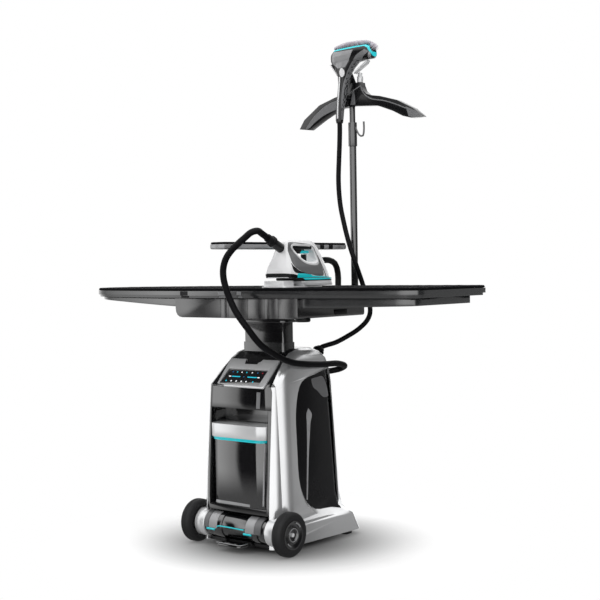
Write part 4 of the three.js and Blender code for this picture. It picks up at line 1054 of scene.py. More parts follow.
@dataclass(frozen=True)
class HoseRun:
    """Stretch of a hose between two bodies that one joint parts.
    """

    name: str
    bodies: tuple[str, str]
    start_share: float
    end_share: float
    held_share: float = 0.0


@dataclass
class Hose:
    """A steam hose along its route, cut into runs that each span one joint."""

    node: str
    route: Sequence[Vector]
    diameter: float
    runs: Sequence[HoseRun]
    sides: int = 28
    step: float = 0.004

    def build(self) -> None:
        """Make every run, from the tower's gland to the tool."""
        line = spaced(catmull(self.route), self.step)
        for run in self.runs:
            shares = (run.start_share, run.end_share)
            first, last = (round(share * (len(line) - 1)) for share in shares)
            self._run(run, line[first : last + 1])

    def _run(self, run: HoseRun, line: Sequence[Vector]) -> None:
        """Make one run.

        Args:
            run: The run's name, bodies and held share.
            line: Its centre line.
        """
        shape = rod(line, self.diameter / 2, self.sides)
        piece = add_piece(run.name, shape, HOSE, None)
        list(run.bodies)
        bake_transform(piece)
        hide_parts(self.node)
        length_of(line)


def slanted(mouth: Triple, pitch: float, marks: Sequence[float], way: int = 1) -> list[Vector]:
    """Straight lead of a hose out of its gland or boot.

    Args:
        mouth: Where it comes out, in millimetres from the tower's axis.
        pitch: How steeply it points up, in degrees.
        marks: Distances from the mouth, in millimetres.
        way: 1 to the back, -1 to the front.

    Returns:
        Points at the marks.
    """
    x, y, z = mouth
    lean = math.radians(pitch)
    return [at(x, y + way * out * math.cos(lean), z + out * math.sin(lean)) for out in marks]


@dataclass
class Hoses:
    """Both steam hoses of the station."""

    iron_route: Sequence[Triple] = (
        (190, -107, 946), (190, -126, 954), (179, -141, 950), (160, -150, 934), (141, -157, 918),
        (117, -159, 899), (96, -159, 876), (82, -155, 848), (78, -150, 821), (79, -143, 796),
        (82, -135, 771), (96, -118, 722), (119, -96, 675), (127, -50, 626), (132, 2, 596),
        (139, 49, 574), (144, 91, 562), (149, 208, 550), (146, 300, 546), (134, 350, 534),
        (108, 356, 523),
    )
    steamer_route: Sequence[Triple] = (
        (129, 350, 1320.7), (129, 350, 1303), (129, 350, 1281), (127, 350, 1234), (124, 350, 1186),
        (121, 350, 1120), (125, 352, 1048), (138, 354, 984), (155, 355, 924), (174, 362, 861),
        (182, 388, 794), (205, 395, 715), (194, 398, 683), (166, 388, 652), (134, 358, 625),
        (112, 332, 609), (97, 309, 602),
    )
    iron_runs: Sequence[HoseRun] = (
        HoseRun("iron_hose_low_run", ("tower", "board"), 0.0, 0.62),
        HoseRun("iron_hose_high_run", ("board", "iron"), 0.62, 1.0, 0.72),
    )
    steamer_runs: Sequence[HoseRun] = (
        HoseRun("steamer_hose_low_run", ("tower", "board"), 0.0, 0.34),
        HoseRun("steamer_hose_board_run", ("board", "mast"), 0.34, 0.70),
        HoseRun("steamer_hose_mast_run", ("mast", "hanger"), 0.70, 0.85),
        HoseRun("steamer_hose_hanger_run", ("hanger", "handset"), 0.85, 1.0),
    )
    iron_diameter: float = 0.0192
    steamer_diameter: float = 0.0154
    iron_boot: Triple = (190, -29, 907)
    iron_boot_pitch: float = 27
    boot_marks: Sequence[float] = (48.3, 62)
    iron_gland: Triple = (84, 302, 515)
    iron_gland_pitch: float = 4
    steamer_gland: Triple = (88, 270, 582)
    steamer_gland_pitch: float = 34
    gland_marks: Sequence[float] = (25.2, 18.0, 9.0, 1.8)

    def build(self) -> None:
        """Lay both hoses, each from the tower outwards."""
        iron = slanted(self.iron_boot, self.iron_boot_pitch, self.boot_marks, -1)
        iron += [at(*p) for p in self.iron_route]
        iron += slanted(self.iron_gland, self.iron_gland_pitch, self.gland_marks)
        steamer = [at(*p) for p in self.steamer_route]
        steamer += slanted(self.steamer_gland, self.steamer_gland_pitch, self.gland_marks)
        Hose("iron_hose", iron[::-1], self.iron_diameter, self.iron_runs).build()
        Hose("handset_hose", steamer[::-1], self.steamer_diameter, self.steamer_runs).build()


# Pads


@dataclass
class PaddedCover:
    """A cloth-covered pad: crowned top, rolled edge and a corded hem.

    The edge starts under the pad at spots that hold how far it is drawn in and
    how high it is, both as shares of the roll.
    """

    name: str
    node: str
    body: str
    crown: float = 0.0006
    roll: float = 0.004
    fill: float = 0.5
    ring_shares: Sequence[float] = (0.995, 0.985, 0.965, 0.93, 0.86, 0.74, 0.58, 0.4, 0.2, 0.06)
    edge_points: int = 220
    pucker: float = 0.0004
    edge_pucker: float = 0.4
    pucker_from: float = 0.9
    ripples: tuple[float, float] = (2.1, 0.37)
    under_edge: Spots = ((0.5, 0.0), (0.1, 0.25))
    edge_turns: Sequence[float] = (0.3, 0.7, 1.1, math.pi / 2)
    hem_radius: float = 0.0009
    hem_level: float = 0.6
    hem_sides: int = 8

    def outline(self, part: bpy.types.Object) -> list[Vector]:
        """Take the pad's own outline round its lowest layer.

        Args:
            part: The plain CAD pad.

        Returns:
            Evenly spaced points of the outline.
        """
        low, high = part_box(self.node)
        lowest = [v.co for v in part.data.vertices if v.co.z < low.z + SAME_LEVEL]
        spots = {(round(p.x, SPOT_DIGITS), round(p.y, SPOT_DIGITS)) for p in lowest}
        centre = (low + high) / 2
        ring = sorted(spots, key=lambda s: math.atan2(s[1] - centre.y, (s[0] - centre.x)))
        loop = [Vector((x, y, low.z)) for x, y in ring]
        loop.append(loop[0])
        return spaced(loop, length_of(loop) / self.edge_points)[:-1]

    def build(self, frame: Frame) -> None:
        """Make the pad in place of its plain CAD solid.

        Args:
            frame: The loaded CAD model.
        """
        low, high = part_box(self.node)
        loop = self.outline(frame["nodes"][self.node])
        half = min(high.x - low.x, high.y - low.y) / 2
        centre = (low + high) / 2
        spine_x, spine_y = (high.x - low.x) / 2 - half, (high.y - low.y) / 2 - half

        def ring(share: float, z: float, wave: float = 0.0) -> list[Vector]:
            """Draw the outline in towards the pad's spine.

            Args:
                share: How much of the way out from the spine.
                z: Height of the ring.
                wave: Height of the cloth's ripples.

            Returns:
                The ring's points.
            """
            out = []
            for i, p in enumerate(loop):
                core_x = centre.x + max(-spine_x, min(spine_x, p.x - centre.x))
                core_y = centre.y + max(-spine_y, min(spine_y, p.y - centre.y))
                ripple = math.sin(i * self.ripples[0]) * math.sin(i * self.ripples[1] + 1.0)
                flat_x, flat_y = core_x + (p.x - core_x) * share, core_y + (p.y - core_y) * share
                out.append(Vector((flat_x, flat_y, z + wave * ripple)))
            return out

        shrink = self.roll / half
        top = high.z - self.crown
        rings = [
            ring(1.0 - shrink * inset, low.z + self.roll * rise) for inset, rise in self.under_edge
        ]
        rings += [
            ring(
                1.0 - shrink * (1 - math.cos(turn)),
                top - self.roll * (1 - math.sin(turn)),
                self.pucker * self.edge_pucker,
            )
            for turn in self.edge_turns
        ]
        for share in self.ring_shares:
            rise = self.crown * (1 - share**4)
            fade = max(0.0, (share - self.pucker_from) / (1.0 - self.pucker_from))
            rings.append(ring((1.0 - shrink) * share, top + rise, self.pucker * fade))
        made = add_piece(self.name, skin(rings), COVER, self.body)
        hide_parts(self.node)
        line = ring(1.0, low.z + self.roll * self.hem_level)
        hem = rod([*line, line[0], line[1]], self.hem_radius, self.hem_sides)
        add_piece(f"{self.name}_hem", hem, COVER, self.body)


# Sub-assemblies


Dressed = Sequence[tuple[Finish, Edge, str]]


@dataclass
class Assembly:
    """Sub-assembly: the CAD nodes that it dresses and the plates that it lays on them.

    A dressed row holds a finish, an edge and node names parted by spaces. Twin
    plates lie on the seen side of a part and again on its other side.
    """

    dressed: Dressed = ()
    plates: Sequence[Inlay] = ()
    twin_plates: Sequence[Inlay] = ()

    def build(self, frame: Frame) -> None:
        """Dress the nodes, lay the plates and make the rest.

        Args:
            frame: The loaded CAD model.
        """
        for finish, edge, nodes in self.dressed:
            dress(frame, finish, edge, *nodes.split())
        for plate in self.plates:
            plate.build(frame)
        for plate in self.twin_plates:
            for side, sign in (("near", 1), ("far", -1)):
                look = tuple(sign * c for c in plate.look)
                replace(plate, name=f"{plate.name}_{side}", look=look).build(frame)
        self.details(frame)

    def details(self, frame: Frame) -> None:
        """Make what only this sub-assembly has."""


@dataclass
class Board(Assembly):
    """The ironing board, its tray, the block below it and the iron's rest."""

    dressed: Dressed = (
        (GLOSS_GREY, Edge.SOFT, "board_rim board_tray"),
        (SOFT_GLOSS, Edge.SOFT, "board_block"),
        (GLOSS_BLACK, Edge.SOFT, "head_flange"),
        (MATT_BLACK, Edge.SOFT, "block_latch block_cap rear_bracket"),
        (STEEL, Edge.SOFT, "iron_rest"),
    )
    plates: Sequence[Inlay] = (
        Inlay("rim_notch", "board_rim", "board", MATT_BLACK,
              ((-171, 782), (-138, 782)), ((-171, 762.4), (-138, 762.4)), proud=0.001),
        *(
            Inlay(f"rim_strip_{number}", "board_rim", "board", MID_GREY,
                  ((left, 781), (right, 781)), ((left, 763), (right, 763)))
            for number, (left, right) in enumerate(((-9, 26), (66, 82)))
        ),
    )

    def details(self, frame: Frame) -> None:
        """Lay the board's cover."""
        PaddedCover("board_cover", "board_pad", "board").build(frame)


@dataclass
class SleeveBoard(Assembly):
    """The narrow sleeve board on its swinging arm."""

    dressed: Dressed = (
        (MATT_BLACK, Edge.SOFT, "sleeve_arm"),
        (ALLOY_GREY, Edge.SOFT, "sleeve_body"),
    )
    twin_plates: Sequence[Inlay] = tuple(
        Inlay(f"sleeve_clip_{number}", "sleeve_body", "sleeve_board", MATT_BLACK,
              ((near, 918.6), (far, 918.6)), ((near, 905.4), (far, 905.4)),
              (-1, 0, 0), proud=0.0015)
        for number, (near, far) in enumerate(((253, 272), (297, 316)))
    )

    def details(self, frame: Frame) -> None:
        """Lay the sleeve board's cover."""
        PaddedCover("sleeve_cover", "sleeve_pad", "sleeve_board", roll=0.003).build(frame)


@dataclass
class Tower(Assembly):
    """The wheeled housing with its boiler, panels and control.

    A lamp row holds its height on the display, the lamps' size, and the place
    and finish of each lamp. A bar holds its name, place, width and finish.
    """

    dressed: Dressed = (
        (SHELL_SILVER, Edge.SOFT, "side_shell_left side_shell_right"),
        (BRIGHT_SILVER, Edge.SOFT, "axle_collar_left axle_collar_right control_bezel"),
        (SILVER, Edge.SOFT, "rear_skirt"),
        (PANEL_BLACK, Edge.SOFT, "side_panel_left side_panel_right"),
        (GLOSS_BLACK, Edge.ROUND, "front_frame upper_shell"),
        (GLOSS_BLACK, Edge.KEEN, "display_glass foot_pedal inner_column"),
        (MATT_BLACK, Edge.SOFT, "chassis_tray rear_cover water_pump"),
        (MATT_BLACK, Edge.SOFT, "iron_hose_gland handset_hose_gland"),
        (GLOSS_BLACK, Edge.SOFT, "axle_housing"),
        (GLOSS_GREY, Edge.SOFT, "column_sleeve"),
        (STEEL, Edge.KEEN, "boiler axle_shaft"),
        (CIRCUIT, Edge.KEEN, "control_board"),
        (BRASS, Edge.KEEN, "steam_valve tank_coupler"),
    )
    plates: Sequence[Inlay] = (
        # Painted reflections on both gloss black side panels: a light sliver down each panel and a
        # grey patch at its top.
        *(
            Inlay(f"panel_{name}_{side}", f"side_panel_{side}", "tower", finish,
                  first, second, look, proud=proud)
            for side, look in (("right", (-1, 0, 0)), ("left", (1, 0, 0)))
            for name, finish, proud, first, second in (
                ("crease", ALLOY_GREY, 0.0004,
                 ((174, 417), (190, 396), (182, 373), (174, 325), (167, 281), (155, 165),
                  (152, 138)),
                 ((173, 416), (164, 400), (163, 370), (161, 325), (158, 281), (150, 180),
                  (147, 140))),
                ("facet", SATIN_GREY, 0.0003,
                 ((196, 505), (226, 508), (254, 508), (272, 480), (284, 446)),
                 ((198, 492), (204, 479), (225, 465), (250, 445), (270, 442))),
            )
        ),
        # Painted highlight: a light upright strip on the gloss black front.
        Inlay("front_light_strip", "upper_shell", "tower", MID_GREY,
              ((72, 479), (71, 450), (70, 430)), ((86, 479), (85, 450), (84, 430))),
        Inlay("bezel_shoulder", "control_bezel", "tower", INK_BLACK,
              ((-103.2, 491), (-103.2, 520), (-103.2, 550), (-103.2, 567)),
              ((-84, 491), (-90, 520), (-97, 550), (-102.4, 567))),
        Inlay("bezel_notch_top", "control_bezel", "tower", MATT_BLACK,
              ((-34, 568.6), (0, 568.8), (25, 568.8)),
              ((-29, 556), (0, 556), (20, 556)), proud=0.0005),
        Inlay("bezel_notch_side", "control_bezel", "tower", MATT_BLACK,
              ((-101, 499), (-75, 498), (-53, 496)),
              ((-101, 491), (-75, 491), (-56, 491)), proud=0.0005),
    )
    lamp_rows: Sequence[tuple[float, float, Sequence[tuple[float, Finish]]]] = (
        (0.80, 0.0045, ((0.15, LIT_BLUE), (0.26, LIT_TEAL), (0.38, LIT_WHITE), (0.5, LIT_TEAL),
                        (0.64, LIT_WHITE), (0.78, LIT_BLUE), (0.9, LIT_RED))),
        (0.20, 0.0055, ((0.12, LIT_TEAL), (0.25, LIT_WHITE), (0.38, LIT_WHITE), (0.51, LIT_WHITE),
                        (0.63, LIT_WHITE), (0.8, LIT_TEAL))),
    )
    bars: Sequence[tuple[str, float, float, Finish]] = (
        ("left_bar", 0.3, 0.034, LIT_TEAL), ("right_bar", 0.71, 0.038, LIT_TEAL),
        ("left_end", 0.145, 0.009, LIT_WHITE), ("right_end", 0.87, 0.009, LIT_WHITE),
        ("middle_lamp", 0.5, 0.004, LIT_BLUE),
    )
    lamp_width: float = 0.8
    bar_row: float = 0.5
    bar_height: float = 0.0035
    glass_look: Triple = (0, -0.7, 0.7)
    mark_lift: float = 0.0002
    mark_height: float = 0.0004
    mark_sides: int = 24

    def details(self, frame: Frame) -> None:
        """Light two rows of small lamps and a row of level bars on the display.

        Args:
            frame: The loaded CAD model.
        """
        facet = Facet.of(frame["nodes"]["display_glass"], Vector(self.glass_look))
        for number, (up, size, lamps) in enumerate(self.lamp_rows):
            for place, (across, finish) in enumerate(lamps):
                centre = facet.spot(across, up, self.mark_lift)
                wide = size * self.lamp_width
                self.mark(f"lamp_{number}_{place}", facet, centre, wide, size, finish)
        for name, across, wide, finish in self.bars:
            centre = facet.spot(across, self.bar_row, self.mark_lift)
            self.mark(name, facet, centre, wide, self.bar_height, finish)

    def mark(
        self, name: str, facet: Facet, centre: Vector, wide: float, tall: float, finish: Finish
    ) -> None:
        """Raise one lit mark on the display, with round ends.

        Args:
            name: Its name, after "display".
            facet: The display's face.
            centre: Its middle on that face.
            wide: Its width.
            tall: Its height.
            finish: Its light.
        """
        radius = min(wide, tall) / 2
        reach = Vector((max(0.0, wide - tall) / 2, max(0.0, tall - wide) / 2))
        loop = []
        for step in range(self.mark_sides):
            angle = 2 * math.pi * step / self.mark_sides
            side = Vector((math.cos(angle), math.sin(angle)))
            shift = Vector((math.copysign(reach.x, side.x), math.copysign(reach.y, side.y)))
            flat = side * radius + shift
            loop.append(centre + facet.across * flat.x + facet.up * flat.y)
        top = [p + facet.normal * self.mark_height for p in loop]
        add_piece(f"display_{name}", skin([loop, top]), finish, "tower")


@dataclass
class Tank(Assembly):
    """The lift-out water tank."""

    dressed: Dressed = (
        (SMOKED, Edge.SOFT, "water_tank"),
        (TEAL, Edge.KEEN, "tank_trim"),
        (BRIGHT_SILVER, Edge.ROUND, "tank_lid"),
    )
    plates: Sequence[Inlay] = (
        Inlay("tank_foot_light", "water_tank", "tank", ALLOY_GREY,
              ((-90, 143), (-20, 143), (49, 142)), ((-96, 134), (-20, 134), (49, 134))),
        Inlay("tank_teal_lip", "water_tank", "tank", TEAL,
              ((-107, 332.6), (-60, 332.6), (60, 332.6), (107, 332.6)),
              ((-107, 328.6), (-60, 328.6), (60, 328.6), (107, 328.6)), proud=0.0022),
        # Painted highlight: a light strip down the tank's right front edge.
        Inlay("tank_edge_light", "water_tank", "tank", ALLOY_GREY,
              ((101, 326), (97, 235), (94, 140)), ((105, 326), (101, 235), (98, 140))),
    )


@dataclass
class Wheels(Assembly):
    """Two wheels with ribbed tyres and dished hubs.

    A groove is drawn by shifts along the axis and depths. A glint holds its
    radius on the hub, its thickness, and its first and last turn in degrees.
    """

    dressed: Dressed = ((GLOSS_BLACK, Edge.SOFT, "wheel_hub_left wheel_hub_right"),)
    radius: float = 0.066
    width: float = 0.036
    seat_radius: float = 0.0433
    bead: float = 0.0015
    shoulder: float = 0.011
    grooves: int = 3
    groove: Spots = ((0.0013, 0.0), (0.0007, 0.0009), (-0.0007, 0.0009), (-0.0013, 0.0))
    glints: Sequence[tuple[float, float, float, float]] = (
        (0.0195, 0.0011, 0.0, 360.0), (0.036, 0.0022, 32.0, 72.0), (0.034, 0.0018, 218.0, 246.0),
    )
    shoulder_steps: int = 8
    glint_steps: int = 40
    glint_sides: int = 10

    def details(self, frame: Frame) -> None:
        """Make both tyres and the hubs' glints.

        Args:
            frame: The loaded CAD model.
        """
        for side, sign in (("left", -1), ("right", 1)):
            self.tyre(side)
            self.cap(side, sign)

    def tyre(self, side: str) -> None:
        """Make a tyre with rounded shoulders and a finely grooved tread.

        Args:
            side: "left" or "right".
        """
        node = f"tyre_{side}"
        low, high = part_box(node)
        half, arc = self.width / 2, self.shoulder
        tread = half - arc
        outer = [
            (tread + arc * math.cos(turn), self.radius - arc + arc * math.sin(turn))
            for turn in turns(0, 90, self.shoulder_steps)
        ]
        crown = [
            (tread - 2 * tread * (number + 0.5) / self.grooves + shift, self.radius - depth)
            for number in range(self.grooves)
            for shift, depth in self.groove
        ]
        flank = [(half - self.bead, self.seat_radius), (half, self.seat_radius + self.bead), *outer]
        profile = [*flank, *crown, *((-x, r) for x, r in reversed(flank))]
        shape = turned((low + high) / 2, profile)
        made = add_piece(f"ribbed_tyre_{side}", shape, RUBBER, f"wheel_{side}")
        soften(made, None)
        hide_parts(node)

    def cap(self, side: str, sign: int) -> None:
        """Make a hub's polished ring and the two short glints on its rim.

        Args:
            side: "left" or "right".
            sign: -1 or 1, the way that the hub's face looks along X.
        """
        low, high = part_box(f"wheel_hub_{side}")
        face = high.x if sign > 0 else low.x
        centre = Vector((face, (low.y + high.y) / 2, (low.z + high.z) / 2))
        for number, (radius, thick, first, last) in enumerate(self.glints):
            line = [
                centre + Vector((0.0, math.cos(turn), math.sin(turn))) * radius
                for turn in turns(first, last, self.glint_steps)
            ]
            shape = rod(line, thick, self.glint_sides)
            add_piece(f"hub_glint_{side}_{number}", shape, ALLOY_GREY, f"wheel_{side}")


@dataclass
class Base(Assembly):
    """Light lines and blocks on the axle housing, and the pedal's light edge.

    A line holds its name, its (x, z) spots of the tower and its radius. A block
    holds its name, its two ends across and its finish.
    """

    axis_height: float = 66
    housing_radius: float = 0.040
    lines: Sequence[tuple[str, Spots, float]] = (
        ("line", ((-78, 57), (-64, 68), (-50, 69), (41, 68)), 0.0019),
        ("left", ((-110, 56), (-78, 56)), 0.0036),
        ("right", ((39, 56), (70, 56)), 0.0036),
    )
    blocks: Sequence[tuple[str, float, float, Finish]] = (
        ("outer_left", -120, -102, SATIN_GREY), ("inner_left", -101, -68, ALLOY_GREY),
        ("inner_right", 46, 80, ALLOY_GREY), ("outer_right", 81, 106, SATIN_GREY),
    )
    block_rise: float = 0.0016
    block_root: float = 0.001
    block_bevel: float = 1.2
    block_end_rise: float = 0.4
    block_turn: tuple[float, float] = (-8, 78)
    block_steps: int = 12
    pedal_edge: Sequence[Triple] = (
        (-46, -66.4, 26.6), (46, -66.4, 26.6), (53, -58, 27.4), (53, -34, 27.4),
    )
    pedal_edge_radius: float = 0.0012
    pedal_edge_sides: int = 10
    line_sides: int = 12
    step: float = 0.003

    def details(self, frame: Frame) -> None:
        """Lay the lines and the blocks.

        Args:
            frame: The loaded CAD model.
        """
        for light in self.lines:
            self.line(*light)
        for block in self.blocks:
            self.block(*block)
        edge = spaced([at(*p) for p in self.pedal_edge], self.step)
        shape = rod(edge, self.pedal_edge_radius, self.pedal_edge_sides)
        add_piece("pedal_light_line", shape, ALLOY_GREY, "pedal")

    def block(self, name: str, low: float, high: float, finish: Finish) -> None:
        """Wrap a raised block round the housing's upper front.

        Args:
            name: Its name, after "housing_block".
            low: Its left end, in millimetres across.
            high: Its right end.
            finish: What it is finished in.
        """
        rings = []
        for x in (low, low + self.block_bevel, high - self.block_bevel, high):
            rise = self.block_rise * (1.0 if low < x < high else self.block_end_rise)
            place = at(x, 0, self.axis_height)
            angles = turns(*self.block_turn, self.block_steps)
            ways = [Vector((0.0, -math.cos(turn), math.sin(turn))) for turn in angles]
            outer = [place + way * (self.housing_radius + rise) for way in ways]
            inner = [place + way * (self.housing_radius - self.block_root) for way in ways]
            rings.append(outer + inner[::-1])
        soften(add_piece(f"housing_block_{name}", skin(rings), finish, "tower"), None)

    def line(self, name: str, spots: Spots, radius: float) -> None:
        """Run a slim rod over the housing.

        Args:
            name: Its name, after "housing_light".
            spots: (x, z) spots of the tower that it passes, in millimetres.
            radius: Its radius.
        """
        line = []
        for x, z in spots:
            drop = (z - self.axis_height) * MM
            out = math.sqrt(self.housing_radius**2 - drop**2)
            place = at(x, 0, z)
            line.append(Vector((place.x, place.y - out, place.z)))
        shape = rod(spaced(line, self.step), radius, self.line_sides)
        add_piece(f"housing_light_{name}", shape, TEAL, "tower")


@dataclass
class Mast(Assembly):
    """Telescoping pole with its collar and hook, and the garment hanger.

    A row of the blade holds its left and right end across, and its height.
    """

    dressed: Dressed = (
        (GLOSS_GREY, Edge.KEEN, "pole_lower"),
        (GLOSS_BLACK, Edge.KEEN, "pole_upper"),
        (GLOSS_GREY, Edge.SOFT, "pole_collar"),
        (INK_BLACK, Edge.ROUND, "hanger_body"),
        (BRIGHT_SILVER, Edge.SOFT, "hanger_neck"),
    )
    # Painted reflections and highlight on the gloss black hanger: grey patches on the left arm and
    # the hub, and a thin grey line along the right arm's top.
    twin_plates: Sequence[Inlay] = tuple(
        Inlay(f"hanger_{name}", "hanger_body", "hanger", MID_GREY, first, second, proud=0.0006)
        for name, first, second in (
            ("left_facet",
             ((108, 1382), (72, 1375), (36, 1359), (3, 1336), (-19, 1314), (-30, 1301)),
             ((108, 1354), (83, 1349), (42, 1336), (5, 1316), (-15, 1302), (-26, 1299.4))),
            ("right_line",
             ((195, 1420), (201, 1401), (214, 1387), (234, 1375), (282, 1364), (315, 1353),
              (364, 1333)),
             ((192, 1420), (198, 1400), (211, 1384.5), (232, 1372), (281, 1361), (314, 1350),
              (362, 1330))),
            ("right_pad",
             ((362, 1336), (380, 1329), (400, 1318), (416, 1306.5), (428, 1299.6)),
             ((372, 1306), (385, 1302), (400, 1300), (413, 1298.8), (424, 1298.4))),
            ("hub_facet",
             ((164, 1410), (159, 1390), (154, 1367), (152.5, 1361)),
             ((166, 1410), (169, 1394), (171, 1375), (172, 1361))),
        )
    )
    blade: Sequence[Triple] = (
        (136, 168, 1398), (139, 176, 1428), (146, 170, 1442), (151.5, 164, 1456), (156, 159, 1466),
    )
    blade_front: float = 377.2
    blade_back: float = 379.6
    blade_draft: float = 1.0

    def details(self, frame: Frame) -> None:
        """Raise the black blade between the hanger's hub and the steamer's handle.

        Args:
            frame: The loaded CAD model.
        """
        front, back, draft = self.blade_front, self.blade_back, self.blade_draft
        rings = []
        for left, right, z in self.blade:
            corners = ((left, front), (right, front), (right - draft, back), (left + draft, back))
            rings.append([at(x, y, z) for x, y in corners])
        soften(add_piece("hanger_blade", skin(rings), INK_BLACK, "hanger"), Edge.KEEN)


@dataclass
class Iron(Assembly):
    """The steam iron on its rest.

    A bar holds its name, finish, body, ends along the iron, sides across it,
    and its lowest and highest level.
    """

    dressed: Dressed = (
        (STEEL, Edge.SOFT, "iron_soleplate"),
        (MATT_BLACK, Edge.SOFT, "iron_trim iron_trigger iron_hose_boot"),
        (PALE_SHELL, Edge.ROUND, "iron_body"),
    )
    window: Spots = (
        (-3.5, 907), (3, 912.8), (50, 912.2), (95.5, 911), (106, 900.5), (111, 867),
        (54, 862.2), (26, 873.3),
    )
    window_lip: Spots = (
        (-9, 908), (0, 917.2), (50, 916.6), (97, 915.5), (111, 902), (116, 862), (53, 857),
        (22, 869),
    )
    panel: Spots = (
        (-19, 912), (-14, 921), (15, 922.5), (55, 920), (90, 917), (109, 911), (119, 899),
        (124, 870),
        (133, 828), (92, 824), (50, 829), (21, 834), (-3, 843), (-20, 856), (-23, 885),
    )
    plates: Sequence[Inlay] = (
        WrappedInlay("iron_heel_band", "iron_body", "iron", MATT_BLACK,
                     ((-68, 822), (-50, 829), (-30, 832), (0, 832.5), (30, 832), (50, 829),
                      (68, 822)),
                     tuple((turn, 819.2) for turn in (-68, -50, -30, 0, 30, 50, 68)),
                     centre=(190, 20)),
    )
    twin_plates: Sequence[Inlay] = tuple(
        Inlay(f"iron_{name}", node, "iron", finish, first, second, (-1, 0, 0), closed, proud)
        for name, node, finish, closed, proud, first, second in (
            ("window_lip", "iron_body", BRIGHT_SILVER, True, 0.0011, window, window_lip),
            ("side_panel", "iron_body", SATIN_GREY, True, 0.0006, window_lip, panel),
            ("side_shadow", "iron_body", MATT_BLACK, False, 0.0010,
             ((-27, 862), (-21, 853), (-4, 841.5), (21, 833.5), (50, 828.5)),
             ((-27, 846), (-22, 836), (-10, 832.5), (21, 831), (50, 828))),
            ("side_wedge", "iron_body", TEAL, False, 0.0010,
             ((-14, 830), (-8, 832), (23, 831), (50, 828), (62, 825), (100, 823), (156, 821.2),
              (190, 820.6)),
             ((-14, 819.4), *((along, 819.2) for along in (-8, 23, 50, 62, 100, 156, 190)))),
            ("front_line", "iron_body", MATT_BLACK, False, 0.0010,
             ((121, 884), (128, 862), (140, 836), (149, 821)),
             ((124.5, 884), (131.5, 862), (143.5, 836), (152.5, 821))),
            ("trim_wedge", "iron_trim", TEAL, False, 0.0011,
             ((14, 817.6), (60, 817.6), (120, 817.6), (196, 817.6)),
             ((22, 812), (60, 811.8), (120, 812.5), (196, 813.2))),
        )
    )
    bars: Sequence[tuple[str, Finish, str, Spots, tuple[float, float]]] = (
        # Painted shade: two black bars line the handle's underside, where its shadow falls.
        ("grip_left", MATT_BLACK, "iron", ((-1, 98), (173, 182.4)), (902, 912.6)),
        ("grip_right", MATT_BLACK, "iron", ((-1, 98), (197.6, 207)), (902, 912.6)),
        ("trigger_blade", TEAL, "iron_button", ((60, 98), (184, 196)), (889.5, 899)),
        ("post", MATT_BLACK, "iron", ((72, 88), (185, 195)), (861, 888)),
    )
    bar_rounding: float = 0.6
    bar_steps: int = 8

    def details(self, frame: Frame) -> None:
        """Paint the shade under the handle with black bars, and make the trigger's blade and its
        post.
        """
        for bar in self.bars:
            self.bar(*bar)

    def bar(
        self, name: str, finish: Finish, body: str, sides: Spots, levels: tuple[float, float]
    ) -> None:
        """Make a block with a rounded underside.

        Args:
            name: Its name, after "iron".
            finish: What it is finished in.
            body: The body it rides on.
            sides: Its two ends along the iron and its two sides across it.
            levels: Its lowest and highest level.
        """
        ends, (left, right) = sides
        low, high = levels
        middle, half = (left + right) / 2, (right - left) / 2
        drop = (high - low) * self.bar_rounding
        under = [
            (middle + half * math.cos(turn), low + drop * (1 - math.sin(turn)))
            for turn in turns(0, 180, self.bar_steps)
        ]
        section = ((left, high), (right, high), *under)
        shape = skin([[at(x, y, z) for x, z in section] for y in ends])
        soften(add_piece(f"iron_{name}", shape, finish, body), Edge.SOFT)


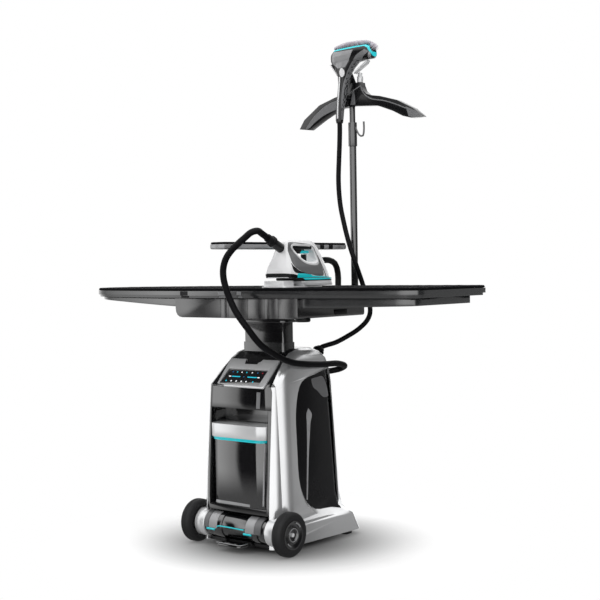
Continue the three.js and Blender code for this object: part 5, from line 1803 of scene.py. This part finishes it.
@dataclass
class Handset(Assembly):
    """The hand steamer, its lever and its brush.

    A rear bar holds its name, finish, half width, and the (x, z) spots of its
    outer and inner line.
    """

    dressed: Dressed = (
        (INK_BLACK, Edge.ROUND, "handset_body"),
        (TEAL, Edge.KEEN, "handset_trim"),
        (MATT_BLACK, Edge.SOFT, "handset_face"),
        (SILVER, Edge.SOFT, "handset_trigger"),
    )
    twin_plates: Sequence[Inlay] = tuple(
        Inlay(f"handset_{name}", "handset_body", "handset", finish, first, second, proud=proud)
        for name, finish, proud, first, second in (
            ("cap", ALLOY_GREY, 0.0008,
             ((126, 1523.5), (119, 1512), (117, 1498), (122, 1487), (131, 1479), (140, 1472)),
             ((203, 1523.5), (198, 1515), (193, 1506), (188, 1498), (180, 1487), (168, 1473))),
            ("cheek", MID_GREY, 0.0008,
             ((246, 1519), (214, 1504), (183, 1475), (164, 1445), (152, 1410), (145, 1370),
              (140, 1313)),
             ((262, 1512), (236, 1496), (201, 1475), (180, 1440), (163, 1405), (154, 1355),
              (148, 1313))),
            ("handle_edge", BRIGHT_SILVER, 0.0008,
             ((142, 1446), (136, 1404), (130, 1360), (127, 1317)),
             ((147.5, 1446), (141.5, 1404), (135, 1360), (132, 1317))),
            ("nose", ALLOY_GREY, 0.0008,
             ((262, 1512), (258, 1502), (253, 1492), (255, 1487)),
             ((265, 1510), (264, 1502), (262, 1494), (259, 1486))),
            ("button", PALE_SHELL, 0.002,
             ((152, 1471), (146, 1461), (149, 1448), (153, 1444)),
             ((158, 1472), (164, 1463), (163, 1452), (156, 1444))),
        )
    )
    rear_bars: Sequence[tuple[str, Finish, float, Spots, Spots]] = (
        ("web", MATT_BLACK, 6.0,
         ((101, 1489), (115, 1471), (129, 1453)), ((113, 1494), (124, 1481), (137, 1452))),
        ("lever", PALE_SHELL, 7.0,
         ((97, 1489), (111, 1471), (125, 1452)), ((101, 1491), (115, 1473), (129, 1453))),
    )
    middle: float = 350
    seed: int = 7
    bristle_gap: float = 3.1
    bristle_length: float = 0.0135
    bristle_radius: float = 0.0009
    bristle_root: float = 0.001
    bristle_knee: float = 0.6
    bristle_taper: float = 25
    bristle_sides: int = 5
    bristle_spread: tuple[float, float] = (0.94, 1.0)
    scatter: float = 0.0005
    start_above: float = 0.05
    steepest_seat: float = 0.2
    first_length: float = 0.6
    length_gain: float = 2.5
    first_lean: float = -0.12
    last_lean: float = 1.5
    lean_from: float = 0.70
    side_lean: float = 0.5

    def details(self, frame: Frame) -> None:
        """Make the slim bright lever behind the neck with its dark web, then the brush.

        Args:
            frame: The loaded CAD model.
        """
        for name, finish, half, outer, inner in self.rear_bars:
            front, back = self.middle - half, self.middle + half
            shape = skin([
                [at(x0, front, z0), at(x1, front, z1), at(x1, back, z1), at(x0, back, z0)]
                for (x0, z0), (x1, z1) in zip(outer, inner)
            ])
            soften(add_piece(f"handset_rear_{name}", shape, finish, "handset"), Edge.SOFT)
        self.brush(frame)

    def brush(self, frame: Frame) -> None:
        """Plant rows of bristles that fan out over the steam plate's far end.

        Args:
            frame: The loaded CAD model.
        """
        seat = surface_of(frame, "handset_face")
        dice = random.Random(self.seed)
        points: list[Vector] = []
        faces: list[list[int]] = []
        low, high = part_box("handset_face")
        count_x = round((high.x - low.x) / MM / self.bristle_gap)
        count_y = round((high.y - low.y) / MM / self.bristle_gap)
        for i in range(count_x + 1):
            for j in range(count_y + 1):
                share, side = i / count_x, j / count_y
                place = Vector((
                    low.x + (high.x - low.x) * share + dice.uniform(-1, 1) * self.scatter,
                    low.y + (high.y - low.y) * side + dice.uniform(-1, 1) * self.scatter,
                    high.z + self.start_above,
                ))
                hit, normal, _, _ = seat.ray_cast(place, Vector((0, 0, -1)))
                if hit is None or normal.z < self.steepest_seat:
                    continue
                fan = max(0.0, share - self.lean_from) / (1.0 - self.lean_from)
                lean = self.first_lean + self.last_lean * fan
                way = Vector((lean, (side - 0.5) * self.side_lean, 1.0)).normalized()
                grown = min(1.0, share * self.length_gain)
                grown = self.first_length + (1.0 - self.first_length) * grown
                reach = self.bristle_length * grown * dice.uniform(*self.bristle_spread)
                stick, sides = self.bristle(hit, way, reach)
                faces += [[len(points) + k for k in facet] for facet in sides]
                points += stick
        add_piece("handset_bristles", (points, faces), BRISTLE, "handset")

    def bristle(self, seat: Vector, way: Vector, reach: float) -> Shape:
        """Draw one tapered bristle.

        Args:
            seat: Where it stands on the steam plate.
            way: Which way it points.
            reach: Its length.

        Returns:
            Points and faces.
        """
        tip = way * reach
        line = [seat - way * self.bristle_root, seat + tip * self.bristle_knee, seat + tip]
        return skin(tube_rings(line, self.thickness, self.bristle_sides))

    def thickness(self, gone: float) -> float:
        """Radius of a bristle at a distance from its root."""
        return self.bristle_radius * (1 - self.bristle_taper * gone)


def main() -> None:
    """Build the studio, then every sub-assembly in order."""
    logging.basicConfig(level=logging.INFO, format="%(name)s: %(message)s")
    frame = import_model()
    Studio().build()
    Hoses().build()
    for kind in (Tower, Tank, Board, SleeveBoard, Mast, Iron, Handset, Wheels, Base):
        kind().build(frame)
    bpy.context.view_layer.update()


if __name__ == "__main__":
    main()
